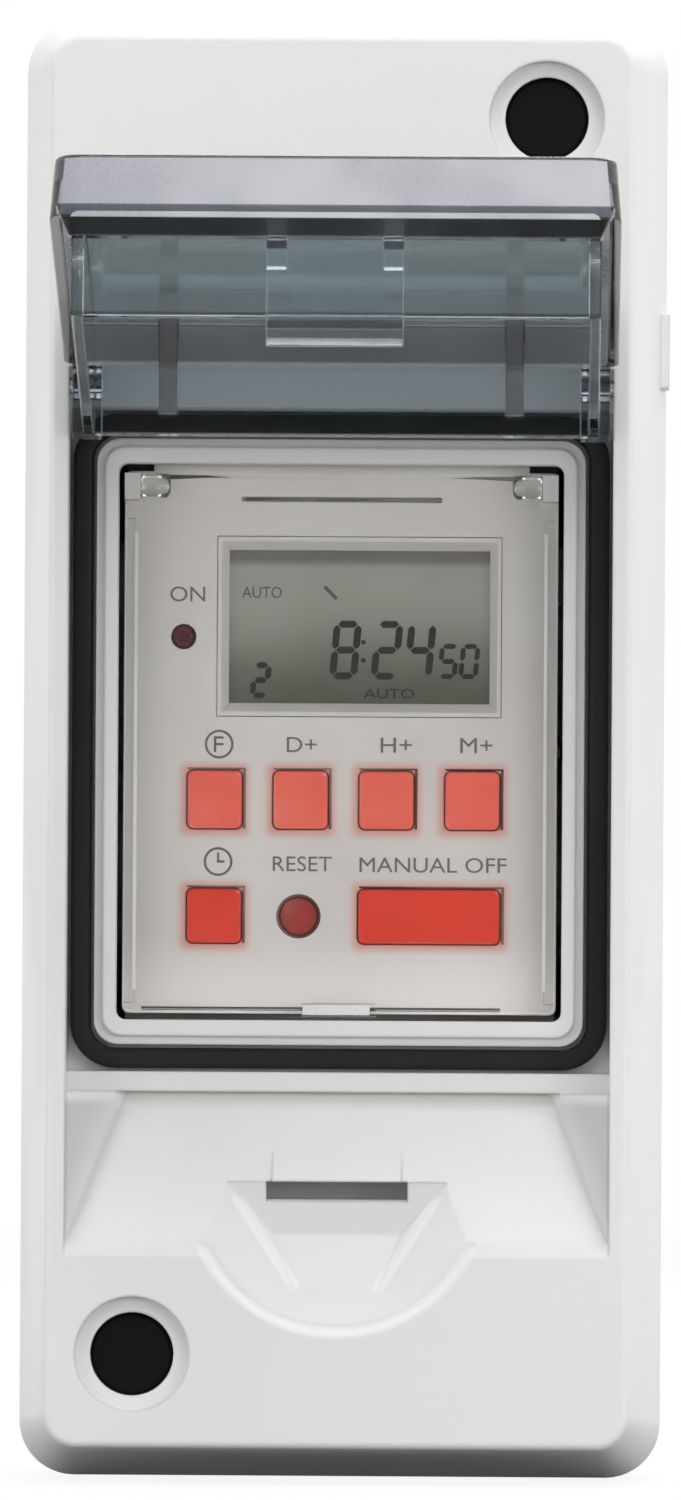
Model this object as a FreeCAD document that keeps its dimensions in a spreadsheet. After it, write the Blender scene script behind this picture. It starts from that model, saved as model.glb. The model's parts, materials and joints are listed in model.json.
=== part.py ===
import FreeCAD, Part

"""Wall enclosure for a two-module digital pump timer, with a smoked lid that is hinged at the top.

Millimetres, +Z up. The origin is the centre of the base's wall face. The front faces -Y, so a distance
"out" is measured from the wall along -Y, and "deep" is measured from the cover's face back to the wall.
The lid stands open at rest. Its pieces are drawn closed about the hinge axis and then turned.
"""

import math
import os

import Sketcher

Vector = FreeCAD.Vector

SIZES = {
    # enclosure shells
    "outline_tall": 122.8,
    "outline_round": 4.6,
    "base_deep": 30.0,
    "seam_half_tall": 0.22,
    "seam_deep": 0.35,
    "base_slope_wide": 0.6,
    "case_deep": 72.0,
    "face_inset_wide": 2.9,
    "face_inset_tall": 3.0,
    "face_round": 2.6,
    "face_edge": 0.5,
    "wall": 2.0,
    "face_thick": 2.2,
    "floor_thick": 2.4,
    "nub_tall": 6.2,
    "nub_up": 33.4,
    "nub_thick": 0.5,
    "nub_back": 1.0,
    "nub_deep": 7.0,
    # pocket in the cover's face
    "pocket_land_wide": 1.6,
    "pocket_top": 30.9,
    "pocket_deep": 7.7,
    "pocket_floor": 2.0,
    "step_deep": 6.0,
    "step_low": 29.0,
    "ramp_low": 42.0,
    "ramp_deep": 7.5,
    "ramp_lip_tall": 0.6,
    "ramp_blend": 5.0,
    # window and gasket
    "window_play_wide": 0.45,
    "window_play_tall": 0.55,
    "window_round": 0.8,
    "rim_border_wide": 1.8,
    "rim_border_tall": 2.05,
    "rim_round": 2.0,
    "rim_deep": 5.0,
    "rim_step": 0.7,
    "gasket_wide": 2.2,
    "gasket_round": 2.0,
    "gasket_deep": 5.8,
    "fit": 0.05,
    "gap": 0.1,
    "past": 1.0,
    # finger scoop and catch nose
    "scoop_round": 12.05,
    "scoop_centre_low": 0.2,
    "scoop_top": 36.4,
    "scoop_sink": 0.06,
    "scoop_belly_deep": 4.3,
    "scoop_belly_inset": 1.0,
    "scoop_lip_wide": 0.5,
    "scoop_lip_deep": 0.4,
    "scoop_wide": 18.2,
    "scoop_mouth": 24.0,
    "scoop_belly_wide": 1.2,
    "scoop_tip_wide": 7.0,
    "scoop_floor_long": 8.7,
    "scoop_tip_deep": 2.7,
    "catch_deep": 10.4,
    "catch_play_wide": 0.35,
    "catch_tall": 1.45,
    "catch_lip_tall": 0.55,
    "nose_wide": 10.7,
    "nose_long": 2.7,
    "nose_deep": 2.9,
    "nose_thick": 1.6,
    "undercut": 0.9,
    # cover screws, caps and inserts
    "screw_inset_wide": 10.15,
    "screw_inset_upper": 9.8,
    "screw_inset_lower": 10.7,
    "recess_across": 9.5,
    "recess_deep": 1.2,
    "cap_across": 6.8,
    "cap_thick": 2.0,
    "cap_deep": 1.7,
    "cap_bevel": 0.3,
    "tower_across": 11.4,
    "head_across": 6.2,
    "head_thick": 2.6,
    "head_seat_thick": 6.0,
    "shank_across": 3.5,
    "shank_bore": 4.0,
    "slot_wide": 0.9,
    "head_slope_wide": 0.4,
    "slot_deep": 0.55,
    "insert_across": 5.6,
    "insert_long": 8.0,
    "insert_wall": 1.8,
    "seal_wide": 1.2,
    "seal_thick": 1.4,
    # wall fixing and knock-outs
    "wall_hole": 4.5,
    "wall_hole_inset": 9.4,
    "collar_across": 8.5,
    "collar_tall": 1.5,
    "knockout": 16.0,
    "knockout_out": 15.0,
    "knockout_groove": 1.0,
    "knockout_line": 0.6,
    # lid, about its hinge axis
    "hinge_inset": 1.6,
    "hinge_deep": 1.2,
    "lid_open_angle": 98.8,
    "pin_across": 1.4,
    "pin_long": 3.4,
    "pin_root_long": 0.6,
    "ear_across": 2.7,
    "ear_thick": 2.4,
    "ear_play_wide": 0.3,
    "panel_out": 6.5,
    "panel_thick": 2.0,
    "panel_inset_wide": 0.4,
    "rim_out": 1.4,
    "lid_lap_wide": 0.4,
    "lid_wall": 0.9,
    "lid_start": 1.7,
    "lid_past_long": 2.4,
    "lid_slope_long": 0.7,
    "lid_round": 2.2,
    "lid_edge": 0.4,
    "ring_play_wide": 1.2,
    "ring_land_long": 1.6,
    "ring_wall": 0.9,
    "ring_reach": 4.5,
    "hinge_wall": 1.2,
    "gusset_across": 14.3,
    "gusset_thick": 1.5,
    "gusset_long": 3.2,
    "gusset_reach": 2.8,
    "tongue_wide": 11.0,
    "tongue_gap_long": 0.25,
    "tongue_thick": 0.7,
    "tongue_reach": 8.8,
    "tongue_rib": 0.4,
    "tongue_rib_wide": 1.6,
    "lip_deep": 0.3,
    "lip_inset_wide": 0.5,
    "lip_thick": 1.4,
    "tongue_rib_reach": 2.6,
    "barb_tall": 2.2,
    "barb_slope": 0.8,
    "barb_lead": 0.6,
    "barb_proud": 0.15,
    # rail
    "rail_tall": 35.0,
    "rail_deep": 7.5,
    "rail_web": 27.0,
    "rail_thick": 1.0,
    "rail_back": 5.0,
    "rail_play_wide": 1.5,
    "rail_screw_across": 15.0,
    "rail_screw": 3.9,
    "rail_screw_head": 7.0,
    "rail_screw_thick": 1.5,
    "support_wide": 9.0,
    "support_tall": 22.0,
    # timer case and front
    "timer_inset_tall": 36.8,
    "timer_back": 8.0,
    "shoulder_out": 54.5,
    "timer_wall": 1.4,
    "front_wide": 36.0,
    "front_tall": 45.0,
    "front_out": 62.0,
    "front_thick": 1.6,
    "front_skirt": 5.0,
    "front_ledge_inset": 2.4,
    "front_ledge_high": 23.1,
    "hook_thick": 2.8,
    "channel_play": 0.3,
    # display
    "bezel_left": 10.25,
    "bezel_right": 13.3,
    "bezel_low": 2.2,
    "bezel_high": 17.1,
    "bezel_border_side": 0.95,
    "bezel_border_top": 1.1,
    "bezel_flat_side": 0.33,
    "bezel_flat_top": 0.38,
    "bezel_slope": 1.1,
    "bezel_thick": 1.4,
    "glass_thick": 1.1,
    "strip_thick": 1.6,
    "board_gap_deep": 6.4,
    "board_thick": 1.6,
    "board_play_wide": 0.5,
    "board_play_tall": 0.6,
    "lamp_across": 2.0,
    "lamp_x": 13.06,
    "lamp_up": 8.76,
    "lamp_dome": 0.5,
    "lamp_tip": 1.2,
    "slit_wide": 16.6,
    "slit_up": 20.2,
    "slit_tall": 0.4,
    "slit_deep": 0.5,
    # keys
    "key_wide": 4.5,
    "key_tall": 4.8,
    "key_low_tall": 4.5,
    "key_round": 0.5,
    "key_proud": 0.45,
    "key_edge": 0.25,
    "key_travel": 0.6,
    "key_row_upper": 4.75,
    "key_row_lower": 14.4,
    "key_left": 10.4,
    "key_pitch": 7.13,
    "manual_x": 7.44,
    "manual_wide": 11.75,
    "reset_x": 3.39,
    "reset_across": 3.1,
    "reset_deep": 0.5,
    "flange": 0.6,
    "flange_thick": 0.8,
    "stem_across": 2.0,
    "switch_wide": 4.4,
    "switch_out": 2.6,
    "plunger_proud": 0.8,
    "plunger_root": 0.2,
    # clear flap
    "flap_play_tall": 0.3,
    "flap_round": 0.6,
    "flap_gap_deep": 0.75,
    "flap_thick": 1.2,
    "flap_notch_wide": 1.5,
    "flap_notch_tall": 2.6,
    "flap_pin": 1.1,
    "flap_stub_root": 1.0,
    "flap_edge_thick": 0.8,
    "flap_axis_inset": 1.3,
    "flap_tab_wide": 6.2,
    "flap_tab_tall": 1.1,
    "flap_tab_past": 0.55,
    "flap_tab_proud": 0.4,
    # power board and what stands on it
    "power_out": 24.0,
    "power_play_tall": 3.6,
    "relay_wide": 10.0,
    "relay_tall": 20.0,
    "relay_out": 15.5,
    "relay_x": 8.0,
    "relay_up": 2.0,
    "film_wide": 8.0,
    "film_tall": 18.0,
    "film_out": 14.0,
    "film_x": 8.0,
    "film_up": 9.0,
    "can_across": 8.0,
    "can_out": 12.0,
    "can_up": 8.0,
    "disc_across": 9.0,
    "disc_thick": 4.0,
    "disc_up": 14.4,
    "cell_across": 12.5,
    "cell_thick": 3.6,
    "cell_x": 6.4,
    "cell_up": 6.25,
    "header_pin": 0.64,
    "header_pitch": 2.54,
    "header_inset": 1.3,
    # terminals
    "clamp_wide": 8.0,
    "clamp_tall": 7.0,
    "clamp_deep": 11.5,
    "clamp_gap_deep": 3.6,
    "clamp_inset_tall": 6.5,
    "clamp_tail": 1.0,
    "clamp_wall": 1.0,
    "clamp_tail_inset": 2.0,
    "terminal_screw": 3.4,
    "terminal_head": 5.0,
    "terminal_head_thick": 1.6,
    "terminal_hole": 5.6,
    "entry_wide": 6.0,
    "entry_tall": 5.0,
    # earth and neutral bars in the base
    "bar_long": 13.0,
    "bar_tall": 6.6,
    "bar_thick": 8.0,
    "bar_x": 14.5,
    "bar_inset_tall": 8.9,
    "bar_screw": 3.4,
    "bar_screw_pitch": 6.5,
    "bar_head": 4.4,
    "bar_head_thick": 1.3,
    "bar_stand": 3.0,
    # clip that holds the timer on the rail
    "clip_wide": 12.0,
    "clip_thick": 2.9,
    "clip_long": 31.0,
    "clip_bite": 2.0,
    "clip_slot_low": 1.2,
    "clip_slot_tall": 1.2,
}

doc = FreeCAD.newDocument("pool_pump_timer")


def fill_sheet():
    """Write every driving size into the sheet, one row each, under its own alias."""
    sheet = doc.addObject("Spreadsheet::Sheet", "Sizes")
    for row, (alias, value) in enumerate(SIZES.items(), start=1):
        sheet.set(f"A{row}", alias)
        sheet.set(f"B{row}", str(value))
        sheet.setAlias(f"B{row}", alias)
    doc.recompute()


class Term:
    """A length worked out from the sheet: the formula that binds it, and its present value."""

    def __init__(self, text, value):
        self.text = text
        self.value = value

    def __add__(self, other):
        other = term(other)
        return Term(f"({self.text} + {other.text})", self.value + other.value)

    def __sub__(self, other):
        other = term(other)
        return Term(f"({self.text} - {other.text})", self.value - other.value)

    def __mul__(self, factor):
        return Term(f"({self.text} * {factor})", self.value * factor)

    def __truediv__(self, divisor):
        return Term(f"({self.text} / {divisor})", self.value / divisor)

    def __neg__(self):
        return Term(f"(0 - {self.text})", -self.value)

    def __radd__(self, other):
        return term(other) + self

    def __rsub__(self, other):
        return term(other) - self

    __rmul__ = __mul__


def term(value):
    """The value as a Term, whether it is one already or a plain number."""
    if isinstance(value, Term):
        return value
    return Term(f"({value})", float(value))


class SheetSizes:
    """Gives each alias of the sheet as a Term."""

    def __getattr__(self, alias):
        return Term(f"Sizes.{alias}", SIZES[alias])


size = SheetSizes()


def bind(thing, prop, value):
    """Tie one property of an object to a formula of sheet sizes."""
    thing.setExpression(prop, term(value).text)


def seat(thing, x, out, up):
    """Place an object by a point given across, out from the wall and up."""
    bind(thing, "Placement.Base.x", x)
    bind(thing, "Placement.Base.y", -term(out))
    bind(thing, "Placement.Base.z", up)


def slab(name, left, right, back, front, low, high):
    """A box from left to right, from back to front as distances out, and from low to high."""
    left, right, back, front, low, high = map(term, (left, right, back, front, low, high))
    box = doc.addObject("Part::Box", name)
    bind(box, "Length", right - left)
    bind(box, "Width", front - back)
    bind(box, "Height", high - low)
    seat(box, left, front, low)
    return box


def centred(name, wide, back, front, low, high):
    """A box centred across."""
    half = term(wide) / 2
    return slab(name, -half, half, back, front, low, high)


def post(name, x, up, back, front, across):
    """A round bar that stands out from the wall."""
    bar = doc.addObject("Part::Cylinder", name)
    bar.Placement = FreeCAD.Placement(Vector(), FreeCAD.Rotation(Vector(1, 0, 0), 90))
    bind(bar, "Radius", term(across) / 2)
    bind(bar, "Height", term(front) - term(back))
    seat(bar, x, back, up)
    return bar


def cone(name, x, up, back, front, back_across, front_across):
    """A round bar that stands out from the wall and changes its width evenly."""
    bar = doc.addObject("Part::Cone", name)
    bar.Placement = FreeCAD.Placement(Vector(), FreeCAD.Rotation(Vector(1, 0, 0), 90))
    bind(bar, "Radius1", term(back_across) / 2)
    bind(bar, "Radius2", term(front_across) / 2)
    bind(bar, "Height", term(front) - term(back))
    seat(bar, x, back, up)
    return bar


def axle(name, left, right, out, up, across):
    """A round bar that lies across."""
    bar = doc.addObject("Part::Cylinder", name)
    bar.Placement = FreeCAD.Placement(Vector(), FreeCAD.Rotation(Vector(0, 1, 0), 90))
    bind(bar, "Radius", term(across) / 2)
    bind(bar, "Height", term(right) - term(left))
    seat(bar, left, out, up)
    return bar


def wedge(name, front_box, back_box, back, front):
    """A block between two upright rectangles, each given as left, right, low, high."""
    block = doc.addObject("Part::Wedge", name)
    for prop, value in zip(("Xmin", "Xmax", "Zmin", "Zmax"), front_box):
        bind(block, prop, value)
    for prop, value in zip(("X2min", "X2max", "Z2min", "Z2max"), back_box):
        bind(block, prop, value)
    bind(block, "Ymin", -term(front))
    bind(block, "Ymax", -term(back))
    return block


def fuse(name, pieces):
    """Join pieces that touch or overlap into one solid."""
    joined = doc.addObject("Part::MultiFuse", name)
    joined.Shapes = pieces
    joined.Refine = True
    return joined


def cut(name, base, tools):
    """Take tools away from a base."""
    result = doc.addObject("Part::Cut", name)
    result.Base = base
    result.Tool = tools[0] if len(tools) == 1 else fuse(f"{name}_tools", tools)
    result.Refine = True
    return result


def group(name, pieces):
    """Keep several separate solids under one name."""
    together = doc.addObject("Part::Compound", name)
    together.Links = pieces
    return together


def new_body(name):
    """A PartDesign body with its own origin planes."""
    return doc.addObject("PartDesign::Body", name)


def sketch_on(body, name, role, across, up, along):
    """A sketch on one of a body's origin planes, moved in the plane and along its normal."""
    sketch = body.newObject("Sketcher::SketchObject", name)
    plane = next(part for part in body.Origin.OriginFeatures if part.Role == role)
    sketch.AttachmentSupport = [(plane, "")]
    sketch.MapMode = "FlatFace"
    bind(sketch, "AttachmentOffset.Base.x", across)
    bind(sketch, "AttachmentOffset.Base.y", up)
    bind(sketch, "AttachmentOffset.Base.z", along)
    return sketch


def dimension(sketch, name, constraint, value):
    """Add a named dimension to a sketch and tie it to the sheet."""
    index = sketch.addConstraint(constraint)
    sketch.renameConstraint(index, name)
    bind(sketch, f"Constraints.{name}", value)


def rounded_outline(body, name, wide, tall, corner, x, up, out):
    """A sketched rectangle with round corners, facing the front."""
    wide, tall, corner = term(wide), term(tall), term(corner)
    sketch = sketch_on(body, name, "XZ_Plane", x, up, out)
    half, high, radius = wide.value / 2, tall.value / 2, corner.value
    flat, steep = half - radius, high - radius
    corners = ((flat, -steep, -90), (flat, steep, 0), (-flat, steep, 90), (-flat, -steep, 180))
    ends = (
        ((-flat, -high), (flat, -high)),
        ((half, -steep), (half, steep)),
        ((flat, high), (-flat, high)),
        ((-half, steep), (-half, -steep)),
    )
    for (start, end), (cx, cy, angle) in zip(ends, corners):
        sketch.addGeometry(Part.LineSegment(Vector(*start, 0), Vector(*end, 0)))
        circle = Part.Circle(Vector(cx, cy, 0), Vector(0, 0, 1), radius)
        first = math.radians(angle)
        sketch.addGeometry(Part.ArcOfCircle(circle, first, first + math.pi / 2))
    for side in range(4):
        line, arc, following = 2 * side, 2 * side + 1, (2 * side + 2) % 8
        sketch.addConstraint(Sketcher.Constraint("Tangent", line, 2, arc, 1))
        sketch.addConstraint(Sketcher.Constraint("Tangent", arc, 2, following, 1))
        direction = "Horizontal" if side % 2 == 0 else "Vertical"
        sketch.addConstraint(Sketcher.Constraint(direction, line))
        if side:
            sketch.addConstraint(Sketcher.Constraint("Equal", 1, arc))
    sketch.addConstraint(Sketcher.Constraint("Symmetric", 0, 1, 4, 1, -1, 1))
    dimension(sketch, "corner", Sketcher.Constraint("Radius", 1, radius), corner)
    dimension(sketch, "wide", Sketcher.Constraint("DistanceX", 6, 1, 2, 1, wide.value), wide)
    dimension(sketch, "tall", Sketcher.Constraint("DistanceY", 0, 1, 4, 1, tall.value), tall)
    return sketch


def round_front(body, feature, front, edge):
    """Round the edges of a body that lie in its front plane."""
    doc.recompute()
    plane = -term(front).value
    names = [
        f"Edge{number}"
        for number, rim in enumerate(feature.Shape.Edges, start=1)
        if all(abs(corner.Y - plane) < 1e-6 for corner in rim.Vertexes)
    ]
    fillet = body.newObject("PartDesign::Fillet", f"{body.Name}_edge")
    fillet.Base = (feature, names)
    bind(fillet, "Radius", edge)


def rounded_block(name, wide, tall, corner, back, front, x=0, up=0, edge=None):
    """A padded block with round corners, and a rounded front edge where one is given."""
    body = new_body(name)
    sketch = rounded_outline(body, f"{name}_outline", wide, tall, corner, x, up, back)
    pad = body.newObject("PartDesign::Pad", f"{name}_pad")
    pad.Profile = sketch
    bind(pad, "Length", term(front) - term(back))
    if edge is not None:
        round_front(body, pad, front, edge)
    return body


def tapered_block(name, back_outline, front_outline, back, front, x=0, up=0, edge=None):
    """A lofted block between two rounded outlines, each given as wide, tall, corner."""
    body = new_body(name)
    first = rounded_outline(body, f"{name}_back", *back_outline, x, up, back)
    last = rounded_outline(body, f"{name}_front", *front_outline, x, up, front)
    loft = body.newObject("PartDesign::AdditiveLoft", f"{name}_loft")
    loft.Profile = first
    loft.Sections = [last]
    loft.Ruled = True
    if edge is not None:
        round_front(body, loft, front, edge)
    return body


def side_profile(name, points, left, right):
    """A block with the given outline of (out, up) points, padded across."""
    body = new_body(name)
    sketch = sketch_on(body, f"{name}_outline", "YZ_Plane", 0, 0, left)
    corners = [(-term(out), term(up)) for out, up in points]
    count = len(corners)
    for index, (y, z) in enumerate(corners):
        y_next, z_next = corners[(index + 1) % count]
        start, end = Vector(y.value, z.value, 0), Vector(y_next.value, z_next.value, 0)
        sketch.addGeometry(Part.LineSegment(start, end))
    for index, (y, z) in enumerate(corners):
        sketch.addConstraint(Sketcher.Constraint("Coincident", index, 2, (index + 1) % count, 1))
        across = Sketcher.Constraint("DistanceX", -1, 1, index, 1, y.value)
        upward = Sketcher.Constraint("DistanceY", -1, 1, index, 1, z.value)
        dimension(sketch, f"y{index}", across, y)
        dimension(sketch, f"z{index}", upward, z)
    pad = body.newObject("PartDesign::Pad", f"{name}_pad")
    pad.Profile = sketch
    bind(pad, "Length", term(right) - term(left))
    return body


# What follows from the sheet, from the timer's front outwards to the outline of the enclosure.
face = size.case_deep
window_wide = size.front_wide + size.window_play_wide * 2
window_tall = size.front_tall + size.window_play_tall * 2
rim_wide = window_wide + size.rim_border_wide * 2
rim_tall = window_tall + size.rim_border_tall * 2
pocket_wide = rim_wide + (size.gasket_wide + size.fit) * 2
half_pocket = pocket_wide / 2
face_wide = pocket_wide + size.pocket_land_wide * 2
face_tall = size.outline_tall - size.face_inset_tall * 2
outline_wide = face_wide + size.face_inset_wide * 2
half_tall = size.outline_tall / 2
head_seat = size.base_deep + size.head_seat_thick
wall_hole_up = half_tall - size.wall_hole_inset
screw_x = outline_wide / 2 - size.screw_inset_wide
cover_screws = (("upper", screw_x, half_tall - size.screw_inset_upper),
                ("lower", -screw_x, -half_tall + size.screw_inset_lower))

scoop_centre = size.scoop_top + size.scoop_centre_low
nose_top = size.scoop_top - size.nose_long
hinge_up = size.pocket_top - size.hinge_inset
lid_wide = pocket_wide + size.lid_lap_wide * 2
panel_wide = lid_wide - size.panel_inset_wide * 2
ring_wide = pocket_wide - size.ring_play_wide * 2
ring_end = hinge_up + rim_tall / 2 + size.ring_land_long
tongue_start = hinge_up + size.scoop_top + size.tongue_gap_long
lid_end = tongue_start + size.lid_past_long
catch_wide = size.tongue_wide + size.catch_play_wide * 2
ear_out = half_pocket - size.ear_play_wide
ear_in = ear_out - size.ear_thick
pin_inset = ear_in + size.pin_root_long

front_back = size.front_out - size.front_thick
timer_tall = size.outline_tall - size.timer_inset_tall
timer_wide = size.front_wide - size.gap * 2
board_out = size.front_out - size.board_gap_deep
board_wide = timer_wide - (size.timer_wall + size.board_play_wide) * 2
board_tall = size.front_tall - (size.timer_wall + size.board_play_tall) * 2
power_tall = timer_tall - (size.timer_wall + size.power_play_tall) * 2
flap_back = size.front_out + size.flap_gap_deep
flap_axis_out = flap_back + size.flap_thick / 2
flap_axis_up = size.front_tall / 2 - size.flap_axis_inset
clamp_front = size.shoulder_out - size.timer_wall - size.clamp_gap_deep
clamp_back = clamp_front - size.clamp_deep
clamp_way_back = clamp_back + size.clamp_wall
clamp_pitch = (timer_wide - size.timer_wall * 2) / 3
clamp_up = timer_tall / 2 - size.clamp_inset_tall
clamp_places = [("upper", -1, 1), ("upper", 0, 1), ("upper", 1, 1), ("lower", -0.5, -1), ("lower", 0.5, -1)]


def screw(name, x, up, tip, seat_out, shank, head, head_thick, slot):
    """A slotted pan-head screw, its tip towards the wall."""
    top = seat_out + head_thick
    solid = fuse(f"{name}_solid", [
        post(f"{name}_shank", x, up, tip, seat_out, shank),
        cone(f"{name}_head", x, up, seat_out, top, head, head - size.head_slope_wide * 2),
    ])
    half = term(slot) / 2
    groove = slab(f"{name}_slot", x - head, x + head, top - size.slot_deep, top + size.past,
                  up - half, up + half)
    return cut(name, solid, [groove])


def base_box():
    """The rear half: a shell with rail supports, screw posts, wall holes and knock-outs."""
    shell = tapered_block(
        "base_outer",
        (outline_wide - size.base_slope_wide * 2, size.outline_tall - size.base_slope_wide * 2, size.outline_round),
        (outline_wide, size.outline_tall, size.outline_round), 0, size.base_deep)
    inside = (outline_wide - size.wall * 2, size.outline_tall - size.wall * 2,
              size.outline_round - size.wall)
    inside_back = (inside[0] - size.base_slope_wide * 2, inside[1] - size.base_slope_wide * 2, inside[2])
    room = tapered_block("base_room", inside_back, inside, size.floor_thick, size.base_deep)
    ledge = rounded_block(
        "base_ledge", inside[0] + size.seal_wide * 2, inside[1] + size.seal_wide * 2,
        inside[2] + size.seal_wide, size.base_deep - size.seal_thick - size.gap, size.base_deep)
    hollow = cut("base_hollow", shell, [room, ledge, seam_ring("base_seam", size.base_deep - size.seam_half_tall,
                                                               size.base_deep)])
    posts, bores = [], []
    for place, x, up in cover_screws:
        top = size.base_deep - size.gap
        posts.append(post(f"base_post_{place}", x, up, size.floor_thick / 2, top,
                          size.insert_across + size.insert_wall * 2))
        bores.append(post(f"base_post_bore_{place}", x, up, top - size.insert_long, top,
                          size.insert_across + size.fit * 2))
    for side in (-1, 1):
        x = size.rail_screw_across * side
        posts.append(slab(f"base_support_{side}", x - size.support_wide / 2, x + size.support_wide / 2,
                          size.floor_thick / 2, size.rail_back, -size.support_tall / 2, size.support_tall / 2))
        bores.append(post(f"base_rail_bore_{side}", x, 0, size.floor_thick / 4, size.rail_back,
                          size.rail_screw + size.fit * 2))
        up = wall_hole_up * side
        posts.append(post(f"base_collar_{side}", 0, up, size.floor_thick / 2,
                          size.floor_thick + size.collar_tall, size.collar_across))
        bores.append(post(f"base_wall_hole_{side}", 0, up, 0, size.floor_thick + size.collar_tall,
                          size.wall_hole))
        bar_x, bar_up = -size.bar_x * side, (half_tall - size.bar_inset_tall) * side
        posts.append(slab(f"base_bar_stand_{side}", bar_x - size.bar_long / 2, bar_x + size.bar_long / 2,
                          size.floor_thick / 2, size.floor_thick + size.bar_stand,
                          bar_up - size.bar_tall / 2, bar_up + size.bar_tall / 2))
        edge = size.outline_tall / 2
        bores.append(knockout_groove(f"base_knockout_{side}", side, edge))
    return cut("base_box", fuse("base_solid", [hollow] + posts), bores)


def knockout_groove(name, side, edge):
    """A scored ring in the top or the bottom wall of the base, round a disc that can be knocked out."""
    rings = []
    for kind, across in (("outer", size.knockout), ("inner", size.knockout - size.knockout_line * 2)):
        ring = doc.addObject("Part::Cylinder", f"{name}_{kind}")
        bind(ring, "Radius", across / 2)
        bind(ring, "Height", size.knockout_groove + size.past)
        seat(ring, 0, size.knockout_out, edge - size.knockout_groove if side > 0 else -edge - size.past)
        rings.append(ring)
    return cut(name, rings[0], [rings[1]])


def seam_ring(name, back, front):
    """The shallow groove round the outline where the cover meets the base."""
    outer = rounded_block(f"{name}_outer", outline_wide + size.past, size.outline_tall + size.past,
                          size.outline_round, back, front)
    inner = rounded_block(f"{name}_inner", outline_wide - size.seam_deep * 2,
                          size.outline_tall - size.seam_deep * 2, size.outline_round - size.seam_deep, back, front)
    return cut(name, outer, [inner])


def across(point):
    """The same point on the other side."""
    return Vector(-point.x, point.y, point.z)


def scoop_outline(grow, deep):
    """The scoop's round outline, grown sideways, at a depth from the face."""
    front = -face.value + deep
    centre, top = scoop_centre.value, size.scoop_top.value
    radius = size.scoop_round.value + grow

    def on_arc(degrees):
        angle = math.radians(degrees)
        return Vector(radius * math.cos(angle), front, -centre + radius * math.sin(angle))

    shoulder = -math.degrees(math.asin((size.ramp_low.value - centre) / size.scoop_round.value))
    mouth = Vector(size.scoop_mouth.value / 2 + grow, front, -top)
    bulge = (mouth + on_arc(shoulder)) / 2 + Vector(size.scoop_belly_wide.value, 0, 0)
    low = (shoulder - 90) / 2
    side = [(mouth, bulge, on_arc(shoulder)), (on_arc(shoulder), on_arc((shoulder + low) / 2), on_arc(low))]
    bottom = [(on_arc(low), on_arc(-90), across(on_arc(low)))]
    mirrored = [tuple(across(point) for point in reversed(arc)) for arc in reversed(side)]
    arcs = [Part.Arc(*points).toShape() for points in side + bottom + mirrored]
    return Part.Wire(arcs + [Part.makeLine(across(mouth), mouth)])


def ramp_depth(low):
    """How deep the ramp lies below the face at a place below the centre."""
    return size.ramp_deep * ((size.ramp_low.value - low.value) / (size.ramp_low.value - size.step_low.value))


def scoop_hollows():
    """The finger scoop, from a round outline to a V-shaped floor that starts at the ramp, and its bevel."""
    front, top = -face.value, size.scoop_top.value
    deep = Vector(size.scoop_wide.value / 2,
                  front + (ramp_depth(size.scoop_top) + size.scoop_sink).value, -top)
    tip = Vector(size.scoop_tip_wide.value / 2, front + size.scoop_tip_deep.value,
                 -(size.scoop_top + size.scoop_floor_long).value)
    half_floor = [deep, (deep + tip) / 2, tip]
    floor = half_floor + [across(point) for point in reversed(half_floor)]
    floor_wire = Part.makePolygon(floor + [floor[0]])
    belly = (deep + tip) / 2
    belly.x -= size.scoop_belly_inset.value
    belly.y = front + size.scoop_belly_deep.value
    corners = [deep, tip, across(tip), across(deep)], [deep, across(deep), across(belly), belly]
    rest = [belly, across(belly), across(tip), tip], [deep, belly, tip]
    sides = corners + rest + ([across(point) for point in (deep, tip, belly)],)
    dip = doc.addObject("Part::Feature", "scoop_dip")
    dip.Shape = Part.Solid(Part.Shell([Part.Face(Part.makePolygon(side + [side[0]])) for side in sides]))
    lip = scoop_outline(size.scoop_lip_wide.value, 0), scoop_outline(0, size.scoop_lip_deep.value)
    hollows = [dip]
    for name, wires in (("scoop_hollow", [scoop_outline(0, 0), floor_wire]), ("scoop_lip", list(lip))):
        hollow = doc.addObject("Part::Feature", name)
        hollow.Shape = Part.makeLoft(wires, True, True)
        hollows.append(hollow)
    return hollows


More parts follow.
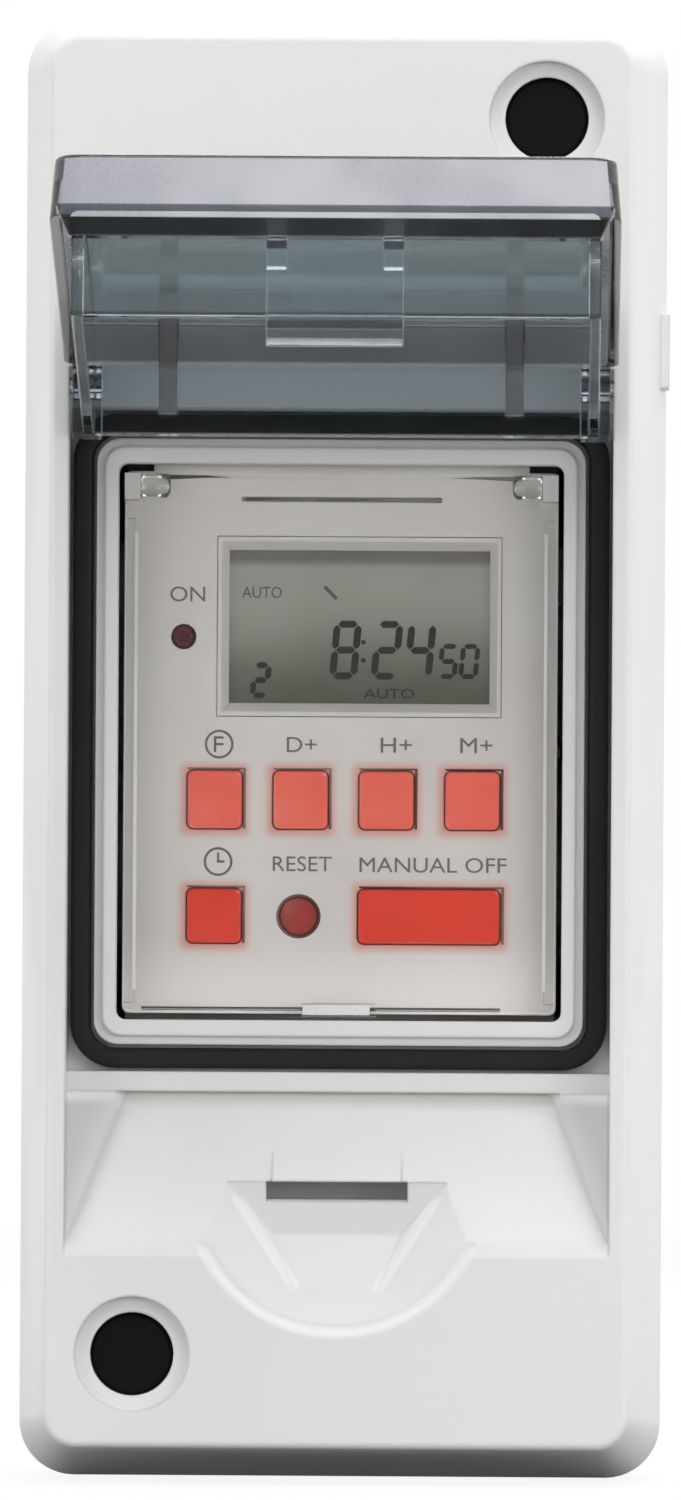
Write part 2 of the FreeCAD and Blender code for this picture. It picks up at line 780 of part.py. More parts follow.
def front_cover():
    """The front half: a drafted shell with the pocket, window rim, ramp, scoop, nose and screw wells."""
    shell = tapered_block(
        "cover_outer", (outline_wide, size.outline_tall, size.outline_round),
        (face_wide, face_tall, size.face_round), size.base_deep, face, edge=size.face_edge)
    inside_back = (outline_wide - size.wall * 2, size.outline_tall - size.wall * 2,
                   size.outline_round - size.wall)
    inside_front = (face_wide - size.wall * 2, face_tall - size.wall * 2,
                    size.face_round - size.wall)
    room = tapered_block("cover_room", inside_back, inside_front, size.base_deep, face - size.face_thick)
    skin = face - size.face_thick / 2
    lip_share = size.ramp_lip_tall.value / (size.ramp_low.value - size.step_low.value)
    backing_wide = pocket_wide + size.wall
    floor_back = face - size.pocket_deep - size.pocket_floor
    solids = [
        cut("cover_shell", shell, [room]),
        centred("cover_tub", backing_wide, floor_back, skin, -size.step_low - size.wall,
                size.pocket_top + size.wall),
        wedge("cover_ramp_back",
              (-backing_wide / 2, backing_wide / 2, -size.ramp_low - size.wall, -size.step_low),
              (-half_pocket + size.ramp_blend - size.wall, half_pocket - size.ramp_blend + size.wall,
               -size.step_low - size.wall, -size.step_low),
              face - size.ramp_deep - size.wall, skin),
        cone("cover_scoop_back", 0, -scoop_centre, face - size.scoop_belly_deep - size.wall, skin,
             size.scoop_wide + size.wall * 2, size.scoop_round * 2 + size.wall * 2),
        centred("cover_catch_box", catch_wide + size.wall * 2, face - size.catch_deep - size.wall, skin,
                -size.scoop_top - size.catch_tall - size.wall, -size.scoop_top + size.undercut + size.wall),
    ]
    holes = [
        centred("cover_pocket", pocket_wide, face - size.pocket_deep, face + size.past, -size.step_low,
                size.pocket_top),
        wedge("cover_ramp", (-half_pocket, half_pocket, -size.ramp_low, -size.step_low),
              (-half_pocket + size.ramp_blend, half_pocket - size.ramp_blend, -size.step_low, -size.step_low),
              face - size.ramp_deep, face),
        wedge("cover_ramp_lip", (-half_pocket, half_pocket, -size.ramp_low - size.ramp_lip_tall, -size.step_low),
              (-half_pocket, half_pocket, -size.ramp_low + size.ramp_lip_tall, -size.step_low),
              face - size.ramp_deep * lip_share, face),
        seam_ring("cover_seam", size.base_deep, size.base_deep + size.seam_half_tall),
    ] + scoop_hollows()
    for place, x, up in cover_screws:
        solids.append(post(f"cover_tower_{place}", x, up, size.base_deep + size.gap, skin,
                           size.tower_across))
        holes.append(post(f"cover_well_{place}", x, up, head_seat, face + size.past,
                          size.cap_across + size.fit * 2))
        holes.append(post(f"cover_recess_{place}", x, up, face - size.recess_deep, face + size.past,
                          size.recess_across))
        holes.append(post(f"cover_screw_hole_{place}", x, up, size.base_deep, head_seat,
                          size.shank_bore))
    body = cut("cover_cut", fuse("cover_solid", solids), holes)
    rim_back = face - size.pocket_deep
    rim = fuse("cover_rim", [
        rounded_block("cover_rim_outer", rim_wide, rim_tall, size.rim_round, rim_back,
                      face - size.rim_deep - size.rim_step),
        rounded_block("cover_rim_inner", rim_wide - size.rim_step * 2, rim_tall - size.rim_step * 2,
                      size.rim_round - size.rim_step / 2, rim_back, face - size.rim_deep),
    ])
    gasket_half = rim_tall / 2 + size.gasket_wide + size.fit
    strips = [
        centred("cover_step_low", pocket_wide, rim_back, face - size.step_deep, -size.step_low, -gasket_half),
        centred("cover_step_high", pocket_wide, rim_back, face - size.step_deep, gasket_half,
                size.pocket_top),
    ]
    slope = ramp_depth(nose_top)
    nose = side_profile("cover_nose", [
        (face - slope, -nose_top), (face - size.nose_deep, -size.scoop_top),
        (face - size.nose_deep - size.nose_thick, -size.scoop_top),
        (face - slope - size.nose_thick, -size.scoop_top + size.undercut),
    ], -size.nose_wide / 2, size.nose_wide / 2)
    catch = side_profile("cover_catch", [
        (face - size.catch_deep, -size.scoop_top - size.catch_tall),
        (face - size.scoop_belly_deep, -size.scoop_top - size.catch_tall),
        (face - size.nose_deep, -size.scoop_top - size.catch_tall - size.catch_lip_tall),
        (face - size.nose_deep, -size.scoop_top),
        (face - size.nose_deep - size.nose_thick, -size.scoop_top),
        (face - size.nose_deep - size.nose_thick, -size.scoop_top + size.undercut),
        (face - size.catch_deep, -size.scoop_top + size.undercut),
    ], -catch_wide / 2, catch_wide / 2)
    window = rounded_block("cover_window", window_wide, window_tall, size.window_round,
                           floor_back, face)
    pins = [axle(f"cover_pin_bore_{name}", left, right, face - size.hinge_deep, hinge_up,
                 size.pin_across + size.fit * 2)
            for name, left, right in pin_spans()]
    nub = slab("cover_nub", outline_wide / 2 - size.wall / 2, outline_wide / 2 + size.nub_thick / 2,
               size.base_deep + size.nub_back, size.base_deep + size.nub_back + size.nub_deep,
               size.nub_up - size.nub_tall / 2,
               size.nub_up + size.nub_tall / 2)
    cored = cut("cover_cored", fuse("cover_joined", [body, rim, nub] + strips), [catch, window] + pins)
    return fuse("front_cover", [cored, nose])


def pin_spans():
    """Where each hinge pin starts and ends across."""
    reach = pin_inset + size.pin_long
    return (("right", pin_inset, reach), ("left", -reach, -pin_inset))


def lid_hinge_pins():
    """Two short steel pins between the lid's ears and the walls of the pocket."""
    return group("lid_hinge_pins", [
        axle(f"lid_pin_{name}", left, right, face - size.hinge_deep, hinge_up, size.pin_across)
        for name, left, right in pin_spans()])


def window_gasket():
    """The black rubber ring round the window rim."""
    wide, tall = rim_wide + size.fit * 2, rim_tall + size.fit * 2
    back, front = face - size.pocket_deep, face - size.gasket_deep
    ring = size.gasket_wide * 2 - size.fit * 2
    outer = rounded_block("gasket_outer", wide + ring, tall + ring, size.gasket_round, back, front)
    inner = rounded_block("gasket_inner", wide, tall, size.rim_round, back, front)
    return cut("window_gasket", outer, [inner])


def smoked_lid():
    """The lid, drawn closed about its hinge axis and turned open: panel, walls, sealing ring, ears, tongue."""
    middle = -(size.lid_start + lid_end) / 2
    long = lid_end - size.lid_start
    draft = size.lid_slope_long * 2
    outer = tapered_block("lid_outer", (lid_wide, long, size.lid_round),
                          (panel_wide, long - draft, size.lid_round), size.rim_out, size.panel_out,
                          up=middle, edge=size.lid_edge)
    walls = size.lid_wall * 2
    inner = tapered_block("lid_inner", (lid_wide - walls, long - walls, size.lid_round - size.lid_wall),
                          (panel_wide - walls, long - draft - walls, size.lid_round - size.lid_wall),
                          size.rim_out, size.panel_out - size.panel_thick, up=middle)
    tray = cut("lid_tray", outer, [inner])
    under = size.panel_out - size.panel_thick / 2
    low = -size.ring_reach
    ring_half = ring_wide / 2
    wall_inside = -size.lid_start - size.hinge_wall
    solids = [
        tray,
        slab("lid_hinge_wall", -ring_half, ring_half, low, size.rim_out + size.fit, wall_inside,
             -size.lid_start),
        slab("lid_near_rib", -ring_half, ring_half, low, under, -ring_end, -ring_end + size.ring_wall),
    ]
    for side in (-1, 1):
        edge, inside = ring_half * side, (ring_half - size.ring_wall) * side
        solids.append(slab(f"lid_side_rib_{side}", *ordered(edge, inside), low, under, -ring_end,
                           -size.lid_start - size.hinge_wall / 2))
        ear = ordered(ear_out * side, ear_in * side)
        solids.append(slab(f"lid_ear_{side}", *ear, low, size.ear_across / 2, wall_inside, 0))
        solids.append(axle(f"lid_ear_round_{side}", *ear, 0, 0, size.ear_across))
        gusset = size.gusset_across * side
        root = wall_inside + size.hinge_wall / 2
        solids.append(side_profile(f"lid_gusset_{'right' if side > 0 else 'left'}", [
            (under, root), (under, wall_inside - size.gusset_long),
            (-size.gusset_reach, wall_inside - size.gusset_long / 4), (-size.gusset_reach, root),
        ], gusset - size.gusset_thick / 2, gusset + size.gusset_thick / 2))
        rib = ordered(size.tongue_wide / 2 * side, (size.tongue_wide / 2 - size.tongue_rib_wide) * side)
        tongue_end = -tongue_start - size.tongue_thick
        solids.append(slab(f"lid_tongue_rib_{side}", *rib, -size.tongue_rib_reach, under,
                           tongue_end - size.tongue_rib, tongue_end + size.tongue_thick / 2))
    lip, lip_end = lid_wide / 2 - size.lip_inset_wide, ring_wide / 2
    solids.append(wedge("lid_lip", (-lip, lip, -lid_end, -lid_end + size.lip_thick),
                        (-lip_end, lip_end, -lid_end, -lid_end + size.lip_thick),
                        -size.lip_deep, size.rim_out + size.lid_wall))
    solids.append(centred("lid_tongue", size.tongue_wide, -size.tongue_reach, under,
                          -tongue_start - size.tongue_thick, -tongue_start))
    barb_top = -size.tongue_reach + size.barb_tall
    solids.append(side_profile("lid_barb", [
        (-size.tongue_reach, -tongue_start), (barb_top, -tongue_start),
        (barb_top - size.barb_slope, -tongue_start + size.barb_proud),
        (-size.tongue_reach + size.barb_lead, -tongue_start + size.barb_proud),
    ], -size.tongue_wide / 2, size.tongue_wide / 2))
    bores = [axle(f"lid_pin_bore_{side}", *ordered((ear_out + size.gap) * side, (ear_in - size.gap) * side),
                  0, 0, size.pin_across + size.gap * 2) for side in (-1, 1)]
    lid = cut("smoked_lid", fuse("lid_solid", solids), bores)
    lid.Placement = FreeCAD.Placement(Vector(), FreeCAD.Rotation(Vector(-1, 0, 0), 1))
    bind(lid, "Placement.Rotation.Angle", size.lid_open_angle)
    seat(lid, 0, face - size.hinge_deep, hinge_up)
    return lid


def ordered(first, second):
    """Two places across, the smaller first."""
    first, second = term(first), term(second)
    return (first, second) if first.value < second.value else (second, first)


def cover_seal():
    """The soft ring on the base's ledge, under the cover's edge."""
    wide, tall = outline_wide - size.wall * 2, size.outline_tall - size.wall * 2
    corner = size.outline_round - size.wall
    back = size.base_deep - size.seal_thick - size.gap
    front = size.base_deep - size.gap
    grow = size.seal_wide * 2 - size.fit * 2
    outer = rounded_block("seal_outer", wide + grow, tall + grow, corner + size.seal_wide - size.fit,
                          back, front)
    inner = rounded_block("seal_inner", wide, tall, corner, back, front)
    return cut("cover_seal", outer, [inner])


def cover_screws_and_caps():
    """The two cover screws, the brass inserts they turn into, and the black caps over them."""
    screws, inserts, caps = [], [], []
    for place, x, up in cover_screws:
        top = size.base_deep - size.gap
        screws.append(screw(f"cover_screw_{place}", x, up, top - size.insert_long + size.gap, head_seat,
                            size.shank_across, size.head_across, size.head_thick, size.slot_wide))
        outer = post(f"insert_outer_{place}", x, up, top - size.insert_long, top, size.insert_across)
        bore = post(f"insert_bore_{place}", x, up, top - size.insert_long, top,
                    size.shank_across + size.fit * 2)
        inserts.append(cut(f"insert_{place}", outer, [bore]))
        caps.append(rounded_cap(f"cap_{place}", x, up))
    return [group("cover_screws", screws), group("cover_screw_inserts", inserts), group("screw_caps", caps)]


def rounded_cap(name, x, up):
    """A round black plug with a bevelled front."""
    front = face - size.cap_deep
    shoulder = front - size.cap_bevel
    return fuse(name, [
        post(f"{name}_plug", x, up, front - size.cap_thick, shoulder, size.cap_across),
        cone(f"{name}_bevel", x, up, shoulder, front, size.cap_across,
             size.cap_across - size.cap_bevel * 2),
    ])


def din_rail():
    """A short piece of 35 mm rail with two holes for its screws."""
    web, wide = size.rail_web / 2, size.rail_tall / 2
    back, front, thick = size.rail_back, size.rail_back + size.rail_deep, size.rail_thick
    leg = web - thick
    half_long = outline_wide / 2 - size.wall - size.base_slope_wide - size.rail_play_wide
    rail = side_profile("rail_profile", [
        (back, -web), (back, web), (front - thick, web), (front - thick, wide), (front, wide),
        (front, leg), (back + thick, leg), (back + thick, -leg), (front, -leg), (front, -wide),
        (front - thick, -wide), (front - thick, -web),
    ], -half_long, half_long)
    bores = [post(f"rail_bore_{side}", size.rail_screw_across * side, 0, back, back + thick,
                  size.rail_screw + size.gap * 2) for side in (-1, 1)]
    return cut("din_rail", rail, bores)


def rail_screws():
    """Two screws that hold the rail on the base."""
    return group("rail_screws", [
        screw(f"rail_screw_{side}", size.rail_screw_across * side, 0, size.floor_thick / 2,
              size.rail_back + size.rail_thick, size.rail_screw, size.rail_screw_head,
              size.rail_screw_thick, size.slot_wide) for side in (-1, 1)])


def terminal_bars():
    """The earth and the neutral bar in the base, each with two clamping screws."""
    bars, screws = [], []
    back = size.floor_thick + size.bar_stand
    for name, side in (("earth", 1), ("neutral", -1)):
        x, up = -size.bar_x * side, (half_tall - size.bar_inset_tall) * side
        block = slab(f"bar_{name}_block", x - size.bar_long / 2, x + size.bar_long / 2, back,
                     back + size.bar_thick, up - size.bar_tall / 2, up + size.bar_tall / 2)
        bores = []
        for hand in (-1, 1):
            hole_x = x + size.bar_screw_pitch / 2 * hand
            front = back + size.bar_thick
            bores.append(post(f"bar_{name}_bore_{hand}", hole_x, up, back + size.bar_thick / 2, front,
                              size.bar_screw + size.fit * 2))
            screws.append(screw(f"bar_{name}_screw_{hand}", hole_x, up, back + size.bar_thick / 2, front,
                                size.bar_screw, size.bar_head, size.bar_head_thick, size.slot_wide))
        bars.append(cut(f"bar_{name}", block, bores))
    return [group("terminal_bars", bars), group("terminal_bar_screws", screws)]


def timer_case():
    """The timer's hollow body: stepped front, rail channel, fixed hook, screw holes and wire entries."""
    timer_half, nose = timer_tall / 2, size.front_tall / 2
    half = timer_wide / 2
    inset = size.timer_wall
    skirt_back = size.front_out - size.front_skirt
    outer = side_profile("case_profile", [
        (size.timer_back, -timer_half), (size.timer_back, timer_half), (size.shoulder_out, timer_half),
        (size.shoulder_out, nose), (skirt_back, nose), (skirt_back, -nose),
        (size.shoulder_out, -nose), (size.shoulder_out, -timer_half),
    ], -half, half)
    inside_tall = timer_half - inset
    deck = size.rail_back + size.rail_deep + inset + size.gap
    room = side_profile("case_room", [
        (deck, -inside_tall), (deck, inside_tall), (size.shoulder_out - inset, inside_tall),
        (size.shoulder_out - inset, nose - inset), (skirt_back, nose - inset), (skirt_back, inset - nose),
        (size.shoulder_out - inset, inset - nose), (size.shoulder_out - inset, -inside_tall),
    ], inset - half, half - inset)
    channel = size.rail_tall / 2 + size.channel_play
    flange_back = size.rail_back + size.rail_deep - size.rail_thick
    hook_front = flange_back - size.gap * 2
    holes = [
        room,
        centred("case_channel", timer_wide, hook_front, size.rail_back + size.rail_deep + size.gap,
                -channel, channel),
        centred("case_channel_open", timer_wide, size.timer_back, hook_front, -channel,
                channel - size.hook_thick),
        centred("case_clip_way", size.clip_wide + size.gap * 2, size.timer_back, hook_front,
                -timer_half, -channel),
    ]
    for row, step, side in clamp_places:
        x, up = clamp_pitch * step, clamp_up * side
        label = f"{row}_{int(step * 2)}".replace("-", "m")
        holes.append(post(f"case_screw_hole_{label}", x, up, size.shoulder_out - inset, size.shoulder_out,
                          size.terminal_hole))
        end = ordered((timer_half - inset) * side, timer_half * side)
        holes.append(slab(f"case_entry_{label}", x - size.entry_wide / 2, x + size.entry_wide / 2,
                          clamp_way_back, clamp_way_back + size.entry_tall, *end))
    return cut("timer_case", outer, holes)


def key_plan():
    """Each key: its name, its centre across and up, and its width and height."""
    upper, lower = -size.key_row_upper, -size.key_row_lower
    plan = [(f"key_{name}", size.key_pitch * column - size.key_left, upper, size.key_wide, size.key_tall)
            for column, name in enumerate(("program", "day", "hour", "minute"))]
    plan.append(("key_clock", -size.key_left, lower, size.key_wide, size.key_low_tall))
    plan.append(("key_manual", size.manual_x, lower, size.manual_wide, size.key_low_tall))
    return plan


def timer_front():
    """The timer's front plate with its skirt, hinge lugs, display opening, lamp hole and key holes."""
    plate = rounded_block("front_plate", size.front_wide, size.front_tall, size.flap_round, front_back,
                          size.front_out)
    skirt_back = size.front_out - size.front_skirt
    wall = size.timer_wall
    skirt = cut("front_skirt_ring", rounded_block("front_skirt_outer", size.front_wide, size.front_tall,
                                                  size.flap_round, skirt_back, front_back),
                [centred("front_skirt_inner", size.front_wide - wall * 2, skirt_back, front_back,
                         -size.front_tall / 2 + wall, size.front_tall / 2 - wall)])
    ledge = centred("front_ledge", size.front_wide - size.front_ledge_inset * 2, front_back, size.front_out,
                    size.front_tall / 2 - size.flap_round, size.front_ledge_high)
    solids = [plate, skirt, ledge]
    lug_in = size.front_wide / 2 - size.flap_notch_wide + size.gap * 2
    holes = []
    for side in (-1, 1):
        span = ordered(lug_in * side, size.front_wide / 2 * side)
        solids.append(slab(f"front_lug_{side}", *span, front_back, flap_axis_out + size.flap_pin,
                           flap_axis_up - size.flap_pin, flap_axis_up + size.flap_pin))
        holes.append(axle(f"front_lug_bore_{side}", *ordered(lug_in * side, size.front_wide / 2 * side),
                          flap_axis_out, flap_axis_up, size.flap_pin + size.gap))
    holes.append(slab("front_display_hole", -size.bezel_left - size.fit, size.bezel_right + size.fit,
                      front_back, size.front_out, size.bezel_low - size.fit, size.bezel_high + size.fit))
    holes.append(post("front_lamp_hole", -size.lamp_x, size.lamp_up, front_back, size.front_out,
                      size.lamp_across + size.fit * 2))
    holes.append(centred("front_slit", size.slit_wide, size.front_out - size.slit_deep, size.front_out,
                         size.slit_up - size.slit_tall / 2, size.slit_up + size.slit_tall / 2))
    for name, x, up, wide, tall in key_plan():
        holes.append(rounded_block(f"front_hole_{name}", wide + size.gap * 2, tall + size.gap * 2,
                                   size.key_round + size.gap, front_back, size.front_out, x, up))
    holes.append(post("front_hole_key_reset", -size.reset_x, -size.key_row_lower, front_back, size.front_out,
                      size.reset_across + size.gap * 2))
    return cut("timer_front", fuse("front_solid", solids), holes)


def timer_keys():
    """The seven keys, each a cap with a flange behind the plate and a stem towards its switch."""
    flange_back = front_back - size.flange_thick
    stem_back = switch_front() + size.key_travel + size.gap
    keys = []
    for name, x, up, wide, tall in key_plan():
        cap = rounded_block(f"{name}_cap", wide, tall, size.key_round, flange_back,
                            size.front_out + size.key_proud,
                            x, up, edge=size.key_edge)
        flange = slab(f"{name}_flange", x - wide / 2 - size.flange, x + wide / 2 + size.flange, flange_back,
                      front_back - size.fit, up - tall / 2 - size.flange, up + tall / 2 + size.flange)
        stem = post(f"{name}_stem", x, up, stem_back, flange_back, size.stem_across)
        keys.append(fuse(name, [cap, flange, stem]))
    x, up = -size.reset_x, -size.key_row_lower
    front = size.front_out - size.reset_deep
    keys.append(fuse("key_reset", [
        post("key_reset_cap", x, up, flange_back, front, size.reset_across),
        post("key_reset_flange", x, up, flange_back, front_back - size.fit,
             size.reset_across + size.flange * 2),
        post("key_reset_stem", x, up, stem_back, flange_back, size.stem_across),
    ]))
    return keys


def switch_front():
    """How far out the plungers of the key switches reach."""
    return board_out + size.switch_out


def key_switches():
    """One small push switch on the display board behind each key."""
    places = [(name, x, up) for name, x, up, _, _ in key_plan()]
    places.append(("key_reset", -size.reset_x, -size.key_row_lower))
    switches = []
    for name, x, up in places:
        half = size.switch_wide / 2
        step = switch_front() - size.plunger_proud
        base = slab(f"switch_base_{name}", x - half, x + half, board_out, step, up - half, up + half)
        plunger = post(f"switch_plunger_{name}", x, up, step - size.plunger_root, switch_front(),
                       size.stem_across)
        switches.append(fuse(f"switch_{name}", [base, plunger]))
    return group("key_switches", switches)


def display_parts():
    """The bezel, the display glass and its two connector strips."""
    left, right = -size.bezel_left, size.bezel_right
    low, high = size.bezel_low, size.bezel_high
    side, top = size.bezel_border_side, size.bezel_border_top
    back = size.front_out - size.bezel_thick
    slope = wedge("bezel_slope",
                  (left + size.bezel_flat_side, right - size.bezel_flat_side, low + size.bezel_flat_top,
                   high - size.bezel_flat_top),
                  (left + side, right - side, low + top, high - top),
                  size.front_out - size.bezel_slope, size.front_out)
    through = slab("bezel_through", left + side, right - side, back, size.front_out, low + top, high - top)
    bezel = cut("display_bezel", slab("bezel_block", left, right, back, size.front_out, low, high),
                [fuse("bezel_opening", [slope, through])])
    glass_back = back - size.glass_thick
    glass = rounded_block("display_glass", size.bezel_left + size.bezel_right, high - low, size.key_edge,
                          glass_back, back, (right + left) / 2, (high + low) / 2)
    strips = [slab(f"strip_{name}", left + side, right - side, board_out, glass_back, at,
                   at + size.strip_thick)
              for name, at in (("low", low), ("high", high - size.strip_thick))]
    return [bezel, glass, group("display_connector_strips", strips)]


def indicator_lamp():
    """A small round indicator lamp with a domed front."""
    front = size.front_out + size.key_edge
    body = post("lamp_body", -size.lamp_x, size.lamp_up, board_out, front - size.lamp_dome,
                size.lamp_across)
    tip = cone("lamp_tip", -size.lamp_x, size.lamp_up, front - size.lamp_dome, front, size.lamp_across,
               size.lamp_tip)
    return fuse("indicator_lamp", [body, tip])


def timer_flap():
    """The clear flap over the timer's front, with hinge stubs at its top corners and a finger tab."""
    front = flap_back + size.flap_thick
    flap_wide = size.front_wide - size.gap * 4
    flap_tall = size.front_tall - size.flap_play_tall * 2
    tab_low = flap_tall / 2 + size.flap_tab_past
    plate = rounded_block("flap_plate", flap_wide, flap_tall, size.flap_round, flap_back, front)
    top = flap_tall / 2
    notch_in = size.front_wide / 2 - size.flap_notch_wide
    notches = []
    for side in (-1, 1):
        span = ordered(notch_in * side, size.front_wide / 2 * side)
        notches.append(slab(f"flap_notch_{side}", *span, flap_back, front, top - size.flap_notch_tall, top))
    body = cut("flap_notched", plate, notches)
    solids = [body]
    for side in (-1, 1):
        stub = ordered((notch_in - size.flap_stub_root) * side, (size.front_wide / 2 - size.gap * 2) * side)
        solids.append(axle(f"flap_stub_{side}", *stub, flap_axis_out, flap_axis_up, size.flap_pin))
        edge = flap_wide / 2
        rail = ordered(edge * side, (edge - size.flap_edge_thick) * side)
        solids.append(slab(f"flap_edge_{side}", *rail, size.front_out + size.gap * 2, front,
                           -top + size.flap_round, top - size.flap_notch_tall - size.flap_pin))
    solids.append(centred("flap_tab", size.flap_tab_wide, flap_back, front + size.flap_tab_proud,
                          -tab_low, -tab_low + size.flap_tab_tall))
    return fuse("timer_flap", solids)


def boards():
    """The display board, the power board, the pins between them and what stands on them."""
    display_back = board_out - size.board_thick
    display = centred("display_board", board_wide, display_back, board_out, -board_tall / 2,
                      board_tall / 2)
    power_front = size.power_out
    power = centred("power_board", board_wide, power_front - size.board_thick, power_front,
                    -power_tall / 2, power_tall / 2)
    pins = []
    pin_count = 6
    for number in range(pin_count):
        x = size.header_pitch * (number - (pin_count - 1) / 2)
        half = size.header_pin / 2
        low = -board_tall / 2 + size.header_inset
        pins.append(slab(f"pin_{number}", x - half, x + half, power_front, display_back,
                         low - half, low + half))
    relay = rounded_block("relay", size.relay_wide, size.relay_tall, size.key_round, power_front,
                          power_front + size.relay_out, -size.relay_x, size.relay_up, edge=size.key_round)
    film = rounded_block("capacitor_film", size.film_wide, size.film_tall, size.key_round, power_front,
                         power_front + size.film_out, size.film_x, size.film_up, edge=size.key_round)
    can = post("capacitor_can", size.film_x, -size.can_up, power_front, power_front + size.can_out,
               size.can_across)
    disc = axle("suppressor", -size.disc_thick / 2, size.disc_thick / 2, power_front + size.disc_across / 2,
                size.disc_up, size.disc_across)
    cell = post("backup_battery", -size.cell_x, -size.cell_up, display_back - size.cell_thick, display_back,
                size.cell_across)
    return [display, power, group("board_pins", pins), relay, group("capacitors", [film, can]), disc, cell]


def terminals():
    """Five wire clamps on legs from the power board, each with its screw."""
    clamps, screws = [], []
    for row, step, side in clamp_places:
        x, up = clamp_pitch * step, clamp_up * side
        label = f"{row}_{int(step * 2)}".replace("-", "m")
        half, tall = size.clamp_wide / 2, size.clamp_tall / 2
        cage = slab(f"clamp_cage_{label}", x - half, x + half, clamp_back, clamp_front, up - tall,
                    up + tall)
        left, right = x - half + size.clamp_wall, x + half - size.clamp_wall
        way = slab(f"clamp_way_{label}", left, right, clamp_way_back, clamp_way_back + size.entry_tall,
                   up - tall, up + tall)
        bore = post(f"clamp_bore_{label}", x, up, clamp_way_back, clamp_front,
                    size.terminal_screw + size.fit * 2)
        leg_half = size.clamp_tail / 2
        leg_up = (power_tall / 2 - size.clamp_tail_inset) * side
        leg = slab(f"clamp_leg_{label}", left, right, size.power_out, clamp_back, leg_up - leg_half,
                   leg_up + leg_half)
        clamps.append(fuse(f"clamp_{label}", [cut(f"clamp_body_{label}", cage, [way, bore]), leg]))
        screws.append(screw(f"terminal_screw_{label}", x, up, clamp_way_back + size.entry_tall / 2,
                            clamp_front, size.terminal_screw, size.terminal_head,
                            size.terminal_head_thick, size.slot_wide))
    return [group("terminal_clamps", clamps), group("terminal_screws", screws)]


def din_clip():
    """The sliding clip behind the rail's lower flange, with a hook at its top and a pull slot below."""
    flange_back = size.rail_back + size.rail_deep - size.rail_thick
    front = flange_back - size.gap * 3
    back = front - size.clip_thick
    top = -size.rail_tall / 2 + size.clip_bite
    plate = centred("clip_plate", size.clip_wide, back, front, top - size.clip_long, top)
    slot_low = top - size.clip_long + size.clip_slot_low
    slot = centred("clip_slot", size.clip_wide / 2, back, front, slot_low, slot_low + size.clip_slot_tall)
    return cut("din_clip", plate, [slot])


def build():
    """Every sub-part of the timer, as document objects whose labels name their files."""
    parts = [base_box(), front_cover(), lid_hinge_pins(), smoked_lid(), window_gasket(), cover_seal()]
    parts += cover_screws_and_caps()
    parts += [din_rail(), rail_screws()]
    parts += terminal_bars()
    parts += [timer_case(), timer_front(), timer_flap()]
    parts += timer_keys()
    parts += [key_switches()]
    parts += display_parts()
    parts += [indicator_lamp()]
    parts += boards()
    parts += terminals()
    parts += [din_clip()]
    return parts


def check(parts):
    """Stop if an object failed, or if a sub-part's shape is empty or not valid."""
    failed = [thing.Name for thing in doc.Objects if {"Invalid", "Error"} & set(thing.State)]
    bad = [part.Label for part in parts if part.Shape.isNull() or not part.Shape.isValid()]
    if failed or bad:
        raise RuntimeError(f"failed objects: {failed}, bad shapes: {bad}")


def main():
    """Build the document, check it and write one file for each sub-part."""
    fill_sheet()
    parts = build()
    doc.recompute()
    check(parts)
    os.makedirs("parts", exist_ok=True)
    for part in parts:
        part.Shape.exportStep(f"parts/{part.Label}.step")
        print(f"{part.Label}: {len(part.Shape.Solids)} solids, {part.Shape.Volume:.1f} mm3")


main()
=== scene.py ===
"""Looks of a weatherproof pool pump timer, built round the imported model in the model's own frame.

Metres, +Z up. The origin is the centre of the base's wall face and the front faces -Y, so a distance "out"
is measured from the wall along -Y. Sizes that name a millimetre are turned into metres where a mesh is made.
"""

import json
import logging
import math
from collections.abc import Iterable, Sequence
from dataclasses import dataclass, field
from enum import Enum
from functools import reduce

import bmesh
import bpy
from mathutils import Matrix, Vector


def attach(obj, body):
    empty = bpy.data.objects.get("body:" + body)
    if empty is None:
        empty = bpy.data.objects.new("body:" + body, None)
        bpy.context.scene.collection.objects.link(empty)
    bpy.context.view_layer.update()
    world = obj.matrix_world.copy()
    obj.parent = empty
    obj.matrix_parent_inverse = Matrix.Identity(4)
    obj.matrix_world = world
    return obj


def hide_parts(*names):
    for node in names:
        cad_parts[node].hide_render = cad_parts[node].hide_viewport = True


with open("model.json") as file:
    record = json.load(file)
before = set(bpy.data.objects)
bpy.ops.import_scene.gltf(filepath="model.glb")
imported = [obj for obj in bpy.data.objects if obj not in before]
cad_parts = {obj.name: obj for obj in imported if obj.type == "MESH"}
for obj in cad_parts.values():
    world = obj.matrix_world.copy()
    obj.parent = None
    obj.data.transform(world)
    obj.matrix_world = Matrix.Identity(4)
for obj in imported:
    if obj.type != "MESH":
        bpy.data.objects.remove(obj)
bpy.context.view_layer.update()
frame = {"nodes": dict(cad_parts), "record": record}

MM = 0.001
LID_AXIS = (70.8, 29.3)
LID_TURN = 1.7244
Colour = tuple[float, float, float, float]
Point = tuple[float, float]
Rectangle = tuple[float, float, float, float]
RUBBED: Colour = (0.9, 0.9, 0.9, 1.0)
log = logging.getLogger("pump_timer")


class Body(str, Enum):
    """The bodies that a piece can ride on."""

    HOUSING = "housing"
    LID = "lid"
    FLAP = "flap"


class Surface(str, Enum):
    """The shared shader node groups."""

    MOULDED = "moulded surface"
    TONES = "slow tone changes"
    SEAM = "parting line"
    BRUSHED = "machined metal surface"
    PAINTED_HIGHLIGHT = "polished scoop edges"
    GLOW = "light from the keys"


@dataclass(frozen=True)
class KeyHole:
    """A key's middle, across and up, and half its sizes, in millimetres."""

    across: float
    up: float
    half_wide: float
    half_tall: float


